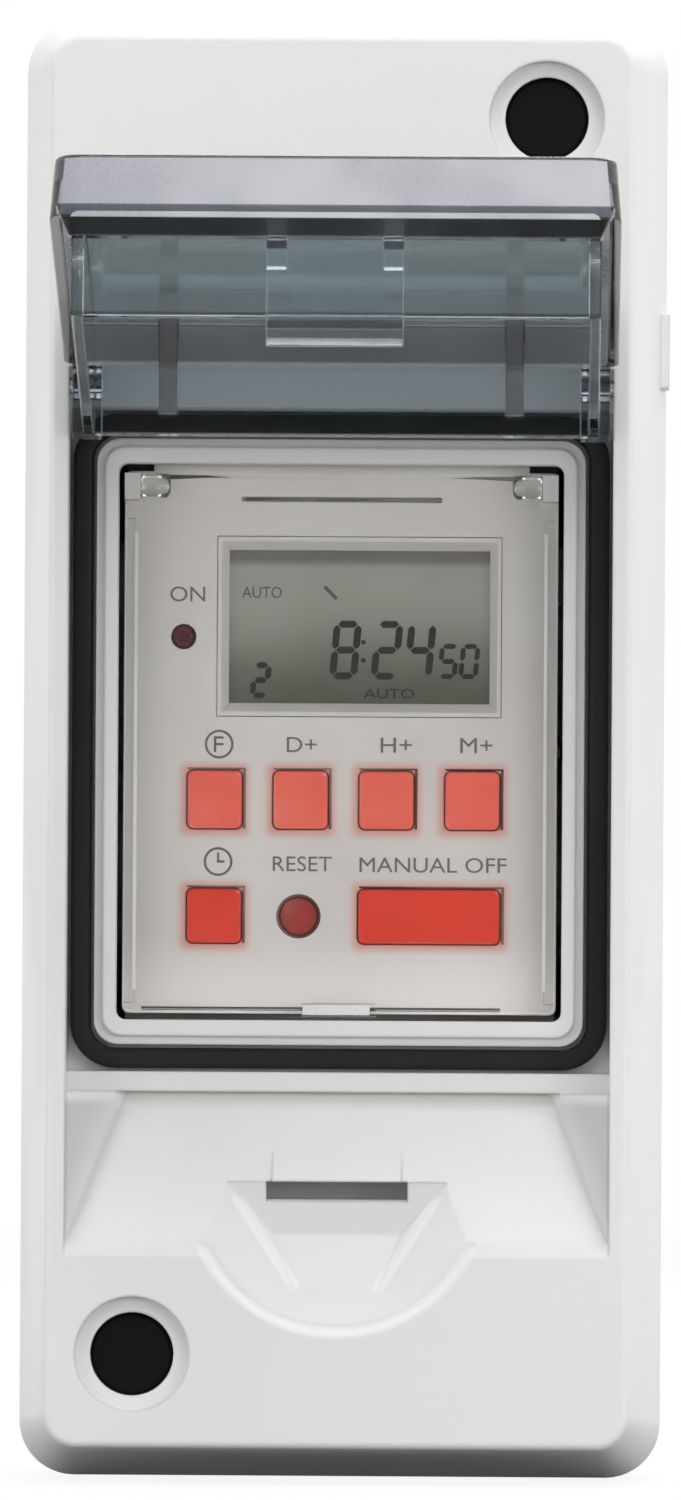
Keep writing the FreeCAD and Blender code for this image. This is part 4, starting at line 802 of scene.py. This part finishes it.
# Painted shadow: dark plastic laid in the slits and recesses round the flap.
PAINTED_RECESS_SHADOW = Moulded("shaded recess", srgb(70, 67, 65), srgb(96, 93, 90), 0.5, 0.6, 4000.0)
CLEAR = ClearPlastic("clear flap plastic", srgb(248, 248, 246), 0.02, 1.49, 0.06, 0.02, 0.00015)
LAMP = Moulded("tinted lamp plastic", srgb(96, 22, 38), srgb(60, 10, 24), 0.6, 0.12, 4000.0, 0.000004,
               0.0001, 0.7, patch_scale=900.0)
DISPLAY = LiquidCrystal("liquid crystal display glass", srgb(170, 172, 164), srgb(98, 100, 88),
                        srgb(106, 103, 100))
BOARD = CircuitBoard("green circuit board", srgb(14, 84, 44), srgb(30, 120, 66), srgb(196, 198, 200))
ZINC = Metal("zinc plated steel", srgb(196, 198, 200), srgb(120, 122, 126), 0.3)
BRASS = Metal("machined brass", srgb(206, 176, 108), srgb(122, 96, 48), 0.26)
LABEL_INK = Ink("grey label ink", srgb(112, 110, 107), srgb(150, 147, 144), 0.3)
DIGIT_INK = Ink("dark display segments", srgb(26, 29, 24), srgb(60, 62, 54), 0.2)
FAINT_INK = Ink("faint display segments", srgb(88, 90, 83), srgb(112, 114, 106), 0.5)

SLOT_FINISHES: dict[str, Finish] = {
    "housing_grey": HOUSING,
    "smoked_plastic": SMOKED,
    "clear_plastic": CLEAR,
    "black_rubber": RUBBER,
    "black_plastic": BLACK,
    "timer_grey": TIMER,
    "key_red": KEY_LOWER,
    "lamp_red": LAMP,
    "display_glass": DISPLAY,
    "circuit_board": BOARD,
    "zinc_steel": ZINC,
    "brass": BRASS,
    "component_dark": COMPONENT,
    "component_blue": COMPONENT_BLUE,
}


class MeshPiece:
    """Collects closed solids in millimetres, and turns them into one piece in metres.

    Args:
        name: The piece's name.
    """

    def __init__(self, name: str) -> None:
        """Start an empty mesh."""
        self.name = name
        self.mesh = bmesh.new()

    def prism(self, outline: Sequence[Point], back: float, front: float) -> None:
        """Add a flat shape, from points across and up in order round it, between two distances out."""
        self.sweep([[Vector((x, -out, z)) for x, z in outline] for out in (back, front)])

    def plate(self, area: Rectangle, back: float, front: float) -> None:
        """Add a rectangle, from its left, low, right and high sides, between two distances out."""
        left, low, right, high = area
        self.prism([(left, low), (right, low), (right, high), (left, high)], back, front)

    def sweep(self, stations: Sequence[Sequence[Vector]]) -> None:
        """Add a solid through cross-sections that all have as many corners.

        Args:
            stations: The corners of each cross-section, in order round it.
        """
        rings = [[self.mesh.verts.new(corner) for corner in station] for station in stations]
        for near, far in zip(rings, rings[1:]):
            for index in range(len(near)):
                after = (index + 1) % len(near)
                self.mesh.faces.new((near[index], near[after], far[after], far[index]))
        self.mesh.faces.new(reversed(rings[0]))
        self.mesh.faces.new(rings[-1])

    def bar(self, start: Point, end: Point, wide: float, back: float, front: float) -> None:
        """Add a straight stroke between two points, in the front plane.

        Args:
            start: Its first end, across and up.
            end: Its other end.
            wide: Its width.
            back: How far out its back is.
            front: How far out its front is.
        """
        along = Vector(end) - Vector(start)
        side = Vector((-along.y, along.x)).normalized() * wide / 2
        corners = [Vector(start) + side, Vector(start) - side, Vector(end) - side, Vector(end) + side]
        self.prism([tuple(corner) for corner in corners], back, front)

    def hoop(self, centre: Point, inner: float, outer: float, back: float, front: float,
             count: int = 32) -> None:
        """Add a flat ring.

        Args:
            centre: Its centre, across and up.
            inner: Its inner radius.
            outer: Its outer radius.
            back: How far out its back is.
            front: How far out its front is.
            count: How many steps it has.
        """
        loops = []
        for radius, out in ((inner, back), (outer, back), (outer, front), (inner, front)):
            turns = (math.tau * step / count for step in range(count))
            loops.append([self.mesh.verts.new((centre[0] + radius * math.cos(turn), -out,
                                               centre[1] + radius * math.sin(turn))) for turn in turns])
        for near, far in zip(loops, loops[1:] + loops[:1]):
            for index in range(count):
                after = (index + 1) % count
                self.mesh.faces.new((near[index], near[after], far[after], far[index]))

    def words(self, text: str, centre: Point, tall: float, wide: float, back: float, front: float) -> None:
        """Add lettering that faces the front.

        Args:
            text: The letters.
            centre: The middle of the lettering, across and up.
            tall: The height of its capitals.
            wide: The whole width.
            back: How far out its back is.
            front: How far out its front is.
        """
        curve = bpy.data.curves.new(f"{self.name}_letters", "FONT")
        curve.body = text
        curve.extrude = 0.5
        curve.resolution_u = 4
        holder = bpy.data.objects.new(curve.name, curve)
        bpy.context.scene.collection.objects.link(holder)
        bpy.context.view_layer.update()
        letters = bpy.data.meshes.new_from_object(holder.evaluated_get(bpy.context.evaluated_depsgraph_get()))
        bpy.data.objects.remove(holder)
        spots = [vertex.co.copy() for vertex in letters.vertices]
        low = Vector((min(s.x for s in spots), min(s.y for s in spots), min(s.z for s in spots)))
        high = Vector((max(s.x for s in spots), max(s.y for s in spots), max(s.z for s in spots)))
        size = high - low
        for vertex in letters.vertices:
            share = vertex.co - low
            vertex.co = (centre[0] + (share.x / size.x - 0.5) * wide,
                         -(back + share.z / size.z * (front - back)),
                         centre[1] + (share.y / size.y - 0.5) * tall)
        self.mesh.from_mesh(letters)
        bpy.data.meshes.remove(letters)

    def finish(self, body: Body, slot: str, finish: Finish, smooth: bool = False) -> bpy.types.Object:
        """Make the piece and let it ride.

        Args:
            body: The body it rides on.
            slot: The record's material slot.
            finish: The finish it wears.
            smooth: Whether its faces are shaded smooth.

        Returns:
            The piece.
        """
        bmesh.ops.remove_doubles(self.mesh, verts=self.mesh.verts, dist=1e-5)
        bmesh.ops.recalc_face_normals(self.mesh, faces=self.mesh.faces)
        data = bpy.data.meshes.new(self.name)
        self.mesh.to_mesh(data)
        self.mesh.free()
        data.transform(Matrix.Scale(MM, 4))
        return wear(add_object(self.name, data), body, slot, finish, smooth)


def add_object(name: str, data: bpy.types.Mesh) -> bpy.types.Object:
    """Put a mesh into the scene at the origin.

    Args:
        name: The object's name.
        data: The mesh.

    Returns:
        The new object.
    """
    thing = bpy.data.objects.new(name, data)
    bpy.context.scene.collection.objects.link(thing)
    return thing


def wear(piece: bpy.types.Object, body: Body, slot: str, finish: Finish,
         smooth: bool = False) -> bpy.types.Object:
    """Give a piece its finish, and let it ride on its body.

    Args:
        piece: The piece.
        body: The body it rides on.
        slot: The record's material slot; not used.
        finish: The finish it wears.
        smooth: Whether its faces are shaded smooth.

    Returns:
        The same piece.
    """
    piece.data.materials.clear()
    piece.data.materials.append(finish.material())
    for polygon in piece.data.polygons:
        polygon.use_smooth = smooth
    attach(piece, body.value)
    log.info("%s: %d faces on %s, %s", piece.name, len(piece.data.polygons), body.value, finish.name)
    return piece


class ShapeTree:
    """A geometry node tree with named inputs, run once and turned into a plain mesh.

    Args:
        name: The tree's name.
        sizes: The value of each named input.
    """

    def __init__(self, name: str, sizes: dict[str, float]) -> None:
        """Make the tree and its sockets."""
        self.tree = bpy.data.node_groups.new(name, "GeometryNodeTree")
        self.sizes = sizes
        self.graph = Graph(self.tree)
        self.sockets = {
            label: self.tree.interface.new_socket(label, in_out="INPUT", socket_type="NodeSocketFloat")
            for label in sizes}
        self.tree.interface.new_socket("Geometry", in_out="OUTPUT", socket_type="NodeSocketGeometry")
        self.inside = self.graph.node("NodeGroupInput")

    def size(self, label: str) -> bpy.types.NodeSocket:
        """One named input, inside the tree."""
        return self.inside.outputs[label]

    def piece(self, name: str, geometry: bpy.types.NodeSocket, finish: Finish) -> bpy.types.Object:
        """End the tree and turn its result into a plain piece.

        Args:
            name: The piece's name.
            geometry: The last geometry in the tree.
            finish: The finish that Set Material gives.

        Returns:
            The piece, with no modifier on it.
        """
        whole = self.graph.node("GeometryNodeRealizeInstances", {0: geometry}).outputs[0]
        dressed = self.graph.node("GeometryNodeSetMaterial", {"Geometry": whole, "Material": finish.material()})
        self.graph.node("NodeGroupOutput", {0: dressed.outputs[0]})
        thing = add_object(name, bpy.data.meshes.new(name))
        modifier = thing.modifiers.new(self.tree.name, "NODES")
        modifier.node_group = self.tree
        for label, value in self.sizes.items():
            modifier[self.sockets[label].identifier] = value
        bpy.context.view_layer.update()
        graph = bpy.context.evaluated_depsgraph_get()
        made = bpy.data.meshes.new_from_object(thing.evaluated_get(graph), depsgraph=graph)
        thing.modifiers.clear()
        thing.data = made
        return thing


@dataclass
class Enclosure:
    """The two housing halves with their screws, caps, seal and rail."""

    nodes: tuple[str, ...] = ("base_box", "front_cover", "lid_hinge_pins", "cover_seal", "cover_screws",
                              "cover_screw_inserts", "screw_caps", "din_rail", "rail_screws", "terminal_bars",
                              "terminal_bar_screws")

    def build(self) -> None:
        """Dress the enclosure's nodes."""
        dress(self.nodes)


@dataclass
class WindowGasket:
    """The black sealing ring in the cover's pocket, swept round the window's rim."""

    wide: float = 42.75
    tall: float = 52.45
    corner: float = 2.9
    section_wide: float = 2.14
    section_deep: float = 1.7
    section_round: float = 0.45
    out: float = 65.15

    def build(self) -> None:
        """Sweep a rounded section along a rounded rectangle."""
        shape = ShapeTree("gasket sweep", {
            "Wide": self.wide * MM, "Tall": self.tall * MM, "Corner": self.corner * MM,
            "Section Wide": self.section_wide * MM, "Section Deep": self.section_deep * MM,
            "Section Round": self.section_round * MM, "Out": -self.out * MM})
        graph = shape.graph
        path = graph.node("GeometryNodeCurvePrimitiveQuadrilateral",
                          {"Width": shape.size("Wide"), "Height": shape.size("Tall")})
        rounded = graph.node("GeometryNodeFilletCurve", {"Curve": path.outputs[0],
                                                         "Radius": shape.size("Corner"), "Count": 10},
                             mode="POLY")
        shift = graph.node("ShaderNodeCombineXYZ", {"Y": shape.size("Out")})
        stood = graph.node("GeometryNodeTransform", {"Geometry": rounded.outputs[0],
                                                     "Translation": shift.outputs[0],
                                                     "Rotation": (math.pi / 2, 0, 0)})
        section = graph.node("GeometryNodeCurvePrimitiveQuadrilateral",
                             {"Width": shape.size("Section Wide"), "Height": shape.size("Section Deep")})
        soft = graph.node("GeometryNodeFilletCurve", {"Curve": section.outputs[0],
                                                      "Radius": shape.size("Section Round"), "Count": 4},
                          mode="POLY")
        swept = graph.node("GeometryNodeCurveToMesh", {"Curve": stood.outputs[0],
                                                       "Profile Curve": soft.outputs[0]})
        piece = shape.piece("gasket_ring", swept.outputs[0], RUBBER)
        outward(piece)
        wear(piece, Body.HOUSING, "black_rubber", RUBBER, smooth=True)
        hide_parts("window_gasket")


def outward(piece: bpy.types.Object) -> None:
    """Merge a mesh's doubles and point its faces outwards.

    Args:
        piece: The object that holds the mesh.
    """
    mesh = bmesh.new()
    mesh.from_mesh(piece.data)
    bmesh.ops.remove_doubles(mesh, verts=mesh.verts, dist=1e-7)
    bmesh.ops.recalc_face_normals(mesh, faces=mesh.faces)
    mesh.to_mesh(piece.data)
    mesh.free()


@dataclass
class SmokedLid:
    """The hinged lid, with a painted reflection on its end and painted highlight in its side channels."""

    nodes: tuple[str, ...] = ("smoked_lid",)
    low_half: float = 22.9
    high_half: float = 22.5
    low_end: float = 68.35
    high_end: float = 67.65
    corner: float = 2.2
    sheen_out: Point = (1.2, 6.15)
    corner_turns: tuple[float, ...] = (38, 28, 18, 9, 0)
    proud: float = 0.07
    sunk: float = 0.03
    channel: Point = (21.35, 21.95)
    channel_out: Point = (1.45, 1.6)
    channel_down: Point = (4.0, 66.0)

    def build(self) -> None:
        """Dress the lid and add what rides on it."""
        dress(self.nodes)
        self.paint_end_sheen()
        self.channel_gleams()

    @staticmethod
    def opened(x: float, out: float, down: float) -> Vector:
        """Turn a place in the closed lid's frame into its place on the open lid, in millimetres.

        Args:
            x: Across.
            out: How far out from the hinge axis.
            down: How far down from the hinge axis.

        Returns:
            The place in the model's frame.
        """
        turn = (math.cos(LID_TURN), math.sin(LID_TURN))
        return Vector((x, -LID_AXIS[0] - down * turn[1] - out * turn[0],
                       LID_AXIS[1] - down * turn[0] + out * turn[1]))

    def paint_end_sheen(self) -> None:
        """Lay a painted reflection over the lid's end face and round its two corners."""
        turns = [math.radians(turn) for turn in self.corner_turns]
        low = (self.sheen_out[0], self.low_half, self.low_end)
        high = (self.sheen_out[1], self.high_half, self.high_end)
        section = ((*low, self.proud), (*high, self.proud), (*high, -self.sunk), (*low, -self.sunk))
        stations = []
        for sign, angles in ((-1, turns), (1, turns[::-1])):
            for angle in angles:
                station = []
                for out, half, end, proud in section:
                    reach = self.corner + proud
                    station.append(self.opened(sign * (half - self.corner + reach * math.sin(angle)), out,
                                               end - self.corner + reach * math.cos(angle)))
                stations.append(station)
        sheen = MeshPiece("lid_end_painted_sheen")
        sheen.sweep(stations)
        sheen.finish(Body.LID, "smoked_plastic", PAINTED_LID_SHEEN)

    def channel_gleams(self) -> None:
        """Lay a strip of painted highlight in the channel along each side wall."""
        gleams = MeshPiece("lid_channel_gleams")
        inner, outer = self.channel
        deep, shallow = self.channel_out
        section = ((inner, deep), (outer, deep), (outer, shallow), (inner, shallow))
        for sign in (-1, 1):
            gleams.sweep([[self.opened(sign * side, out, down) for side, out in section]
                          for down in self.channel_down])
        gleams.finish(Body.LID, "smoked_plastic", PAINTED_LID_SHEEN)


@dataclass
class TimerFront:
    """The timer's body and front, with its keys, lamp, flap and printed marks."""

    out: float = 62.0
    flap_out: float = 63.95
    ink: float = 0.03
    sunk: float = 0.02
    letter: float = 1.25
    icon: float = 1.0
    keys_upper: tuple[str, ...] = ("key_program", "key_day", "key_hour", "key_minute")
    keys_lower: tuple[str, ...] = ("key_clock", "key_manual")
    labels: tuple[tuple[str, float, float, float], ...] = (
        ("ON", -12.75, 12.3, 2.9), ("D+", -3.2, -0.15, 2.5), ("H+", 4.65, -0.15, 2.6), ("M+", 11.3, -0.15, 2.7),
        ("RESET", -3.1, -10.05, 4.9), ("MANUAL OFF", 7.75, -10.1, 12.2))
    icons: tuple[Point, ...] = ((-10.06, -0.15), (-10.09, -9.9))
    icon_strokes: tuple[tuple[Point, Point, float], ...] = (
        ((-10.09, -9.9), (-10.09, -9.15), 0.18), ((-10.18, -9.9), (-9.55, -9.9), 0.18),
        ((-10.4, -0.8), (-10.4, 0.5), 0.2), ((-10.4, 0.4), (-9.7, 0.4), 0.2),
        ((-10.4, -0.15), (-9.7, -0.15), 0.2))
    barrel: tuple[Point, ...] = ((14.2, 0.55), (14.5, 0.95), (16.9, 0.95), (17.2, 0.6))
    barrel_axis: Point = (63.35, 21.2)
    reset: Point = (-3.39, -14.4)
    reset_ring: Point = (1.62, 1.84)
    shade_gap: float = 0.1
    shade_side: float = 0.32
    shade_top: float = 0.26
    gleams: tuple[tuple[Rectangle, float], ...] = (
        ((-17.15, -20.6, -16.85, 17.4), 0.0), ((16.85, -20.6, 17.15, 17.4), 0.0),
        ((-3.0, -22.6, 2.6, -21.75), 0.4))
    slits: tuple[Rectangle, ...] = ((-8.0, 20.12, 8.3, 20.3), (-16.4, -22.25, 13.4, -21.95))
    taper: tuple[Point, ...] = ((15.4, 21.75), (15.4, 22.3), (11.5, 22.15), (9.0, 22.0), (11.5, 21.95))

    def build(self) -> None:
        """Dress the nodes and print the marks."""
        dress(("timer_case", "timer_front", "timer_flap", "key_switches", "indicator_lamp", "din_clip"))
        dress(self.keys_upper, KEY_UPPER_PAINTED_GLARE)
        dress(self.keys_lower, KEY_LOWER)
        dress(("key_reset",), KEY_RESET)
        self.print_marks()
        self.flap_barrels()
        self.flap_gleams()
        self.key_shades()
        self.recess_shades()

    def flap_barrels(self) -> None:
        """Add the clear hinge barrels in the flap's upper corners."""
        barrels = MeshPiece("flap_hinge_barrels")
        out, up = self.barrel_axis
        turns = [math.tau * step / 20 for step in range(20)]
        for sign in (-1, 1):
            barrels.sweep([[Vector((sign * x, radius * math.cos(turn) - out, radius * math.sin(turn) + up))
                            for turn in turns] for x, radius in self.barrel])
        barrels.finish(Body.FLAP, "clear_plastic", CLEAR, smooth=True)

    def key_shades(self) -> None:
        """Darken the upper and right sides of the key holes, and the ring round the reset key."""
        shades = MeshPiece("key_shades")
        back, front = self.out - 0.1, self.out + 0.02
        for hole in KEY_HOLES:
            left, right = hole.across - hole.half_wide, hole.across + hole.half_wide
            low, high = hole.up - hole.half_tall, hole.up + hole.half_tall
            near, far = right + self.shade_gap, right + self.shade_side
            under, top = high + self.shade_gap, high + self.shade_top
            shades.prism([(left, under), (near, under), (near, low), (far, low), (far, top), (left, top)],
                         back, front)
        shades.hoop(self.reset, *self.reset_ring, back, front, 40)
        shades.finish(Body.HOUSING, "component_dark", KEY_SHADE)

    def flap_gleams(self) -> None:
        """Lay the pale light along the flap's sides, and the tab at its foot."""
        gleams = MeshPiece("flap_gleams")
        for area, proud in self.gleams:
            gleams.plate(area, self.flap_out + proud - 0.05, self.flap_out + proud + 0.02)
        gleams.finish(Body.FLAP, "clear_plastic", GLEAM)

    def recess_shades(self) -> None:
        """Lay painted shadow in the slits above and below the flap, and in the two tapered recesses beside its
        barrels.
        """
        shades = MeshPiece("recess_shades")
        back, front = self.out - 0.3, self.out + 0.02
        for area in self.slits:
            shades.plate(area, back, front)
        for sign in (-1, 1):
            shades.prism([(sign * x, z) for x, z in self.taper], back, front)
        shades.finish(Body.HOUSING, "component_dark", PAINTED_RECESS_SHADOW)

    def print_marks(self) -> None:
        """Print the words and the two round icons."""
        back, front = self.out - self.sunk, self.out + self.ink
        marks = MeshPiece("printed_labels")
        for text, x, z, wide in self.labels:
            marks.words(text, (x, z), self.letter, wide, back, front)
        for centre in self.icons:
            marks.hoop(centre, self.icon, self.icon + 0.2, back, front)
        for start, end, wide in self.icon_strokes:
            marks.bar(start, end, wide, back, front)
        marks.finish(Body.HOUSING, "timer_grey", LABEL_INK)


@dataclass(frozen=True)
class Figure:
    """A seven-segment figure: what it shows, its left side and foot, its sizes and its stroke."""

    shown: str
    left: float
    low: float
    wide: float
    tall: float
    stroke: float


@dataclass
class Display:
    """The display with its bezel, glass and segments."""

    out: float = 60.6
    ink: float = 0.04
    sunk: float = 0.02
    slant: float = 0.09
    lit: dict[str, str] = field(default_factory=lambda: {
        "0": "abcdef", "2": "abged", "4": "fgbc", "5": "afgcd", "8": "abcdefg"})
    figures: tuple[Figure, ...] = (
        *(Figure(shown, left, 5.6, 1.75, 4.3, 0.58) for shown, left in (("8", -0.7), ("2", 2.75), ("4", 5.5))),
        *(Figure(shown, left, 5.6, 1.2, 2.5, 0.42) for shown, left in (("5", 8.2), ("0", 9.95))),
        Figure("2", -7.35, 3.95, 1.15, 2.5, 0.5))
    colon: tuple[Point, ...] = ((1.85, 6.9), (1.85, 8.4))

    def build(self) -> None:
        """Dress the display and add its segments."""
        dress(("display_bezel", "display_glass", "display_connector_strips"))
        self.time_of_day()
        self.faint_marks()

    def digit(self, piece: MeshPiece, figure: Figure) -> None:
        """Add one seven-segment figure.

        Args:
            piece: The piece that takes it.
            figure: The figure.
        """
        wide, tall, half, stroke = figure.wide, figure.tall, figure.tall / 2, figure.stroke
        corners = {"tl": (0, tall), "tr": (wide, tall), "ml": (0, half), "mr": (wide, half), "bl": (0, 0),
                   "br": (wide, 0)}
        ends = {"a": ("tl", "tr"), "b": ("mr", "tr"), "c": ("br", "mr"), "d": ("bl", "br"), "e": ("bl", "ml"),
                "f": ("ml", "tl"), "g": ("ml", "mr")}
        for segment in self.lit[figure.shown]:
            start, end = (Vector(corners[name]) for name in ends[segment])
            along = (end - start).normalized()
            side = Vector((-along.y, along.x)) * stroke / 2
            first, last = start + along * stroke * 0.6, end - along * stroke * 0.6
            outline = [start + along * stroke * 0.12, first - side, last - side, end - along * stroke * 0.12,
                       last + side, first + side]
            piece.prism([(figure.left + spot.x + self.slant * spot.y, figure.low + spot.y) for spot in outline],
                        self.out - self.sunk, self.out + self.ink)

    def time_of_day(self) -> None:
        """Add the figures, the colon and the word below them."""
        digits = MeshPiece("display_digits")
        back, front = self.out - self.sunk, self.out + self.ink
        for figure in self.figures:
            self.digit(digits, figure)
        digits.words("AUTO", (4.0, 4.15), 0.8, 4.2, back, front)
        for centre in self.colon:
            digits.hoop(centre, 0.02, 0.2, back, front, 12)
        digits.finish(Body.HOUSING, "component_dark", DIGIT_INK)

    def faint_marks(self) -> None:
        """Add the pale words that the display hardly shows."""
        marks = MeshPiece("display_faint_marks")
        back, front = self.out - self.sunk, self.out + self.ink
        marks.words("AUTO", (-6.6, 12.5), 0.95, 3.3, back, front)
        marks.bar((-1.4, 13.0), (-0.4, 12.0), 0.3, back, front)
        marks.finish(Body.HOUSING, "component_dark", FAINT_INK)


@dataclass
class Interior:
    """The boards and what stands on them."""

    nodes: tuple[str, ...] = ("display_board", "power_board", "board_pins", "relay", "capacitors", "suppressor",
                              "backup_battery", "terminal_clamps", "terminal_screws")

    def build(self) -> None:
        """Dress the inside."""
        dress(self.nodes)


def dress(names: Iterable[str], finish: Finish | None = None) -> None:
    """Give CAD nodes their finish.

    Args:
        names: The nodes' names.
        finish: The finish, where it isn't the one of the record's slot.
    """
    slots = {part["node"]: part["material_slot"] for part in frame["record"]["subparts"]}
    for name in names:
        chosen = finish or SLOT_FINISHES[slots[name]]
        thing = frame["nodes"][name]
        thing.data.materials.clear()
        thing.data.materials.append(chosen.material())
        log.info("%s: %d faces, %s", name, len(thing.data.polygons), chosen.name)


@dataclass(frozen=True)
class Lamp:
    """A square soft light that faces the object, and whether glossy and clear surfaces show it."""

    name: str
    place: tuple[float, float, float]
    size: float
    power: float
    mirrored: bool = True

    def hang(self) -> None:
        """Put the lamp into the scene."""
        light = bpy.data.lights.new(self.name, "AREA")
        light.size = self.size
        light.energy = self.power
        thing = bpy.data.objects.new(self.name, light)
        thing.location = self.place
        thing.visible_glossy = self.mirrored
        thing.visible_transmission = self.mirrored
        thing.rotation_euler = (-Vector(self.place)).to_track_quat("-Z", "Y").to_euler()
        bpy.context.scene.collection.objects.link(thing)


@dataclass
class Studio:
    """The pale floor, the soft light and the camera."""

    floor_low: float = -0.0615
    floor_half: float = 3.0
    eye: tuple[float, float, float] = (0.0175, -2.072, -0.0265)
    aim: tuple[float, float, float] = (0.0001, -0.072, -0.0007)
    roll: float = math.radians(0.36)
    lens: float = 581.0
    sky: float = 0.85
    sky_foot: float = 0.35
    front_dim: float = 0.3
    near_glow: float = 0.05
    near_reach: Point = (0.1, 0.3)
    mirror_reach: Point = (0.12, 0.4)
    lamps: tuple[Lamp, ...] = (
        Lamp("key_light", (0.2, -0.95, 1.35), 0.9, 8.0),
        Lamp("front_right_light", (1.5, -1.9, 0.1), 0.9, 12.0),
        Lamp("front_left_light", (-1.5, -1.9, 0.1), 0.9, 9.5),
        Lamp("front_light", (0.3, -2.4, 0.05), 1.6, 4.0, mirrored=False),
        Lamp("right_light", (1.3, -0.35, 0.1), 0.9, 4.0, mirrored=False),
        Lamp("left_light", (-1.3, -0.35, 0.1), 0.9, 3.5, mirrored=False),
        Lamp("back_light", (0.2, 1.2, 1.0), 0.9, 8.0),
    )

    def build(self) -> None:
        """Set up the floor, the world, the lamps and the camera."""
        self.floor()
        self.world()
        for lamp in self.lamps:
            lamp.hang()
        self.camera()

    def white_rays(self, graph: Graph) -> bpy.types.NodeSocket:
        """One for camera and transmission rays, and for glossy rays beyond the object's shadow.

        Args:
            graph: The material's graph.

        Returns:
            The output, from zero to one.
        """
        path = graph.node("ShaderNodeLightPath").outputs
        x, y, _ = graph.axes(graph.place())
        beyond = graph.spread(graph.distance(x, y, 0.0), *self.mirror_reach)
        return graph.most(path["Is Camera Ray"], graph.times(path["Is Glossy Ray"], beyond),
                          path["Is Transmission Ray"])

    def floor(self) -> None:
        """Lay the pale floor, which shows nearly white and keeps a faint shadow."""
        half = self.floor_half
        mesh = bpy.data.meshes.new("floor")
        mesh.from_pydata([(-half, -half, self.floor_low), (half, -half, self.floor_low),
                          (half, half, self.floor_low), (-half, half, self.floor_low)], [], [(0, 1, 2, 3)])
        floor = add_object("floor", mesh)
        material = bpy.data.materials.new("pale studio floor")
        material.use_nodes = True
        graph = Graph(material.node_tree)
        shader = material.node_tree.nodes["Principled BSDF"]
        seen = self.white_rays(graph)
        graph.feed(shader.inputs["Base Color"], graph.mix(seen, srgb(150, 150, 150), srgb(244, 244, 244)))
        shader.inputs["Roughness"].default_value = 0.9
        glow = graph.node("ShaderNodeEmission", {"Color": (1, 1, 1, 1), "Strength": 1.0})
        x, y, _ = graph.axes(graph.place())
        near = graph.spread(graph.distance(x, y, 0.0), *self.near_reach, self.near_glow, 0.0)
        share = graph.plus(graph.times(seen, 0.9), graph.times(near, graph.less(1.0, seen)))
        mixed = graph.node("ShaderNodeMixShader", {0: share, 1: shader.outputs[0], 2: glow.outputs[0]})
        output = next(node for node in material.node_tree.nodes if node.type == "OUTPUT_MATERIAL")
        graph.feed(output.inputs["Surface"], mixed.outputs[0])
        mesh.materials.append(material)

    def world(self) -> None:
        """Light the scene evenly, and show white behind it."""
        world = bpy.data.worlds.new("studio")
        world.use_nodes = True
        bpy.context.scene.world = world
        graph = Graph(world.node_tree)
        background = next(node for node in world.node_tree.nodes if node.type == "BACKGROUND")
        way = graph.axes(graph.node("ShaderNodeTexCoord").outputs["Generated"])
        level = graph.times(graph.spread(way[2], -0.5, 0.5, self.sky * self.sky_foot, self.sky),
                            graph.spread(way[1], -1.0, -0.75, self.front_dim, 1.0))
        path = graph.node("ShaderNodeLightPath").outputs
        clear = graph.most(path["Is Glossy Ray"], path["Is Transmission Ray"])
        behind = graph.times(clear, graph.spread(way[1], -0.3, 0.0))
        seen = graph.most(path["Is Camera Ray"], behind)
        graph.feed(background.inputs["Strength"], graph.plus(graph.times(level, graph.less(1.0, seen)), seen))
        background.inputs["Color"].default_value = (1, 1, 1, 1)

    def camera(self) -> None:
        """Set the camera where the photograph was taken from."""
        camera = bpy.data.cameras.new("camera")
        camera.sensor_width = 36.0
        camera.lens = self.lens
        camera.clip_start = 0.05
        thing = bpy.data.objects.new("camera", camera)
        look = (Vector(self.aim) - Vector(self.eye)).to_track_quat("-Z", "Y").to_matrix().to_4x4()
        thing.matrix_world = Matrix.Translation(self.eye) @ look @ Matrix.Rotation(self.roll, 4, "Z")
        bpy.context.scene.collection.objects.link(thing)
        bpy.context.scene.camera = thing
        bpy.context.scene.view_settings.view_transform = "Standard"


def main() -> None:
    """Build the sub-assemblies in order, then the studio."""
    logging.basicConfig(level=logging.INFO, format="%(name)s: %(message)s")
    for assembly in (Enclosure(), WindowGasket(), SmokedLid(), TimerFront(), Display(), Interior(), Studio()):
        assembly.build()


if __name__ == "__main__":
    main()
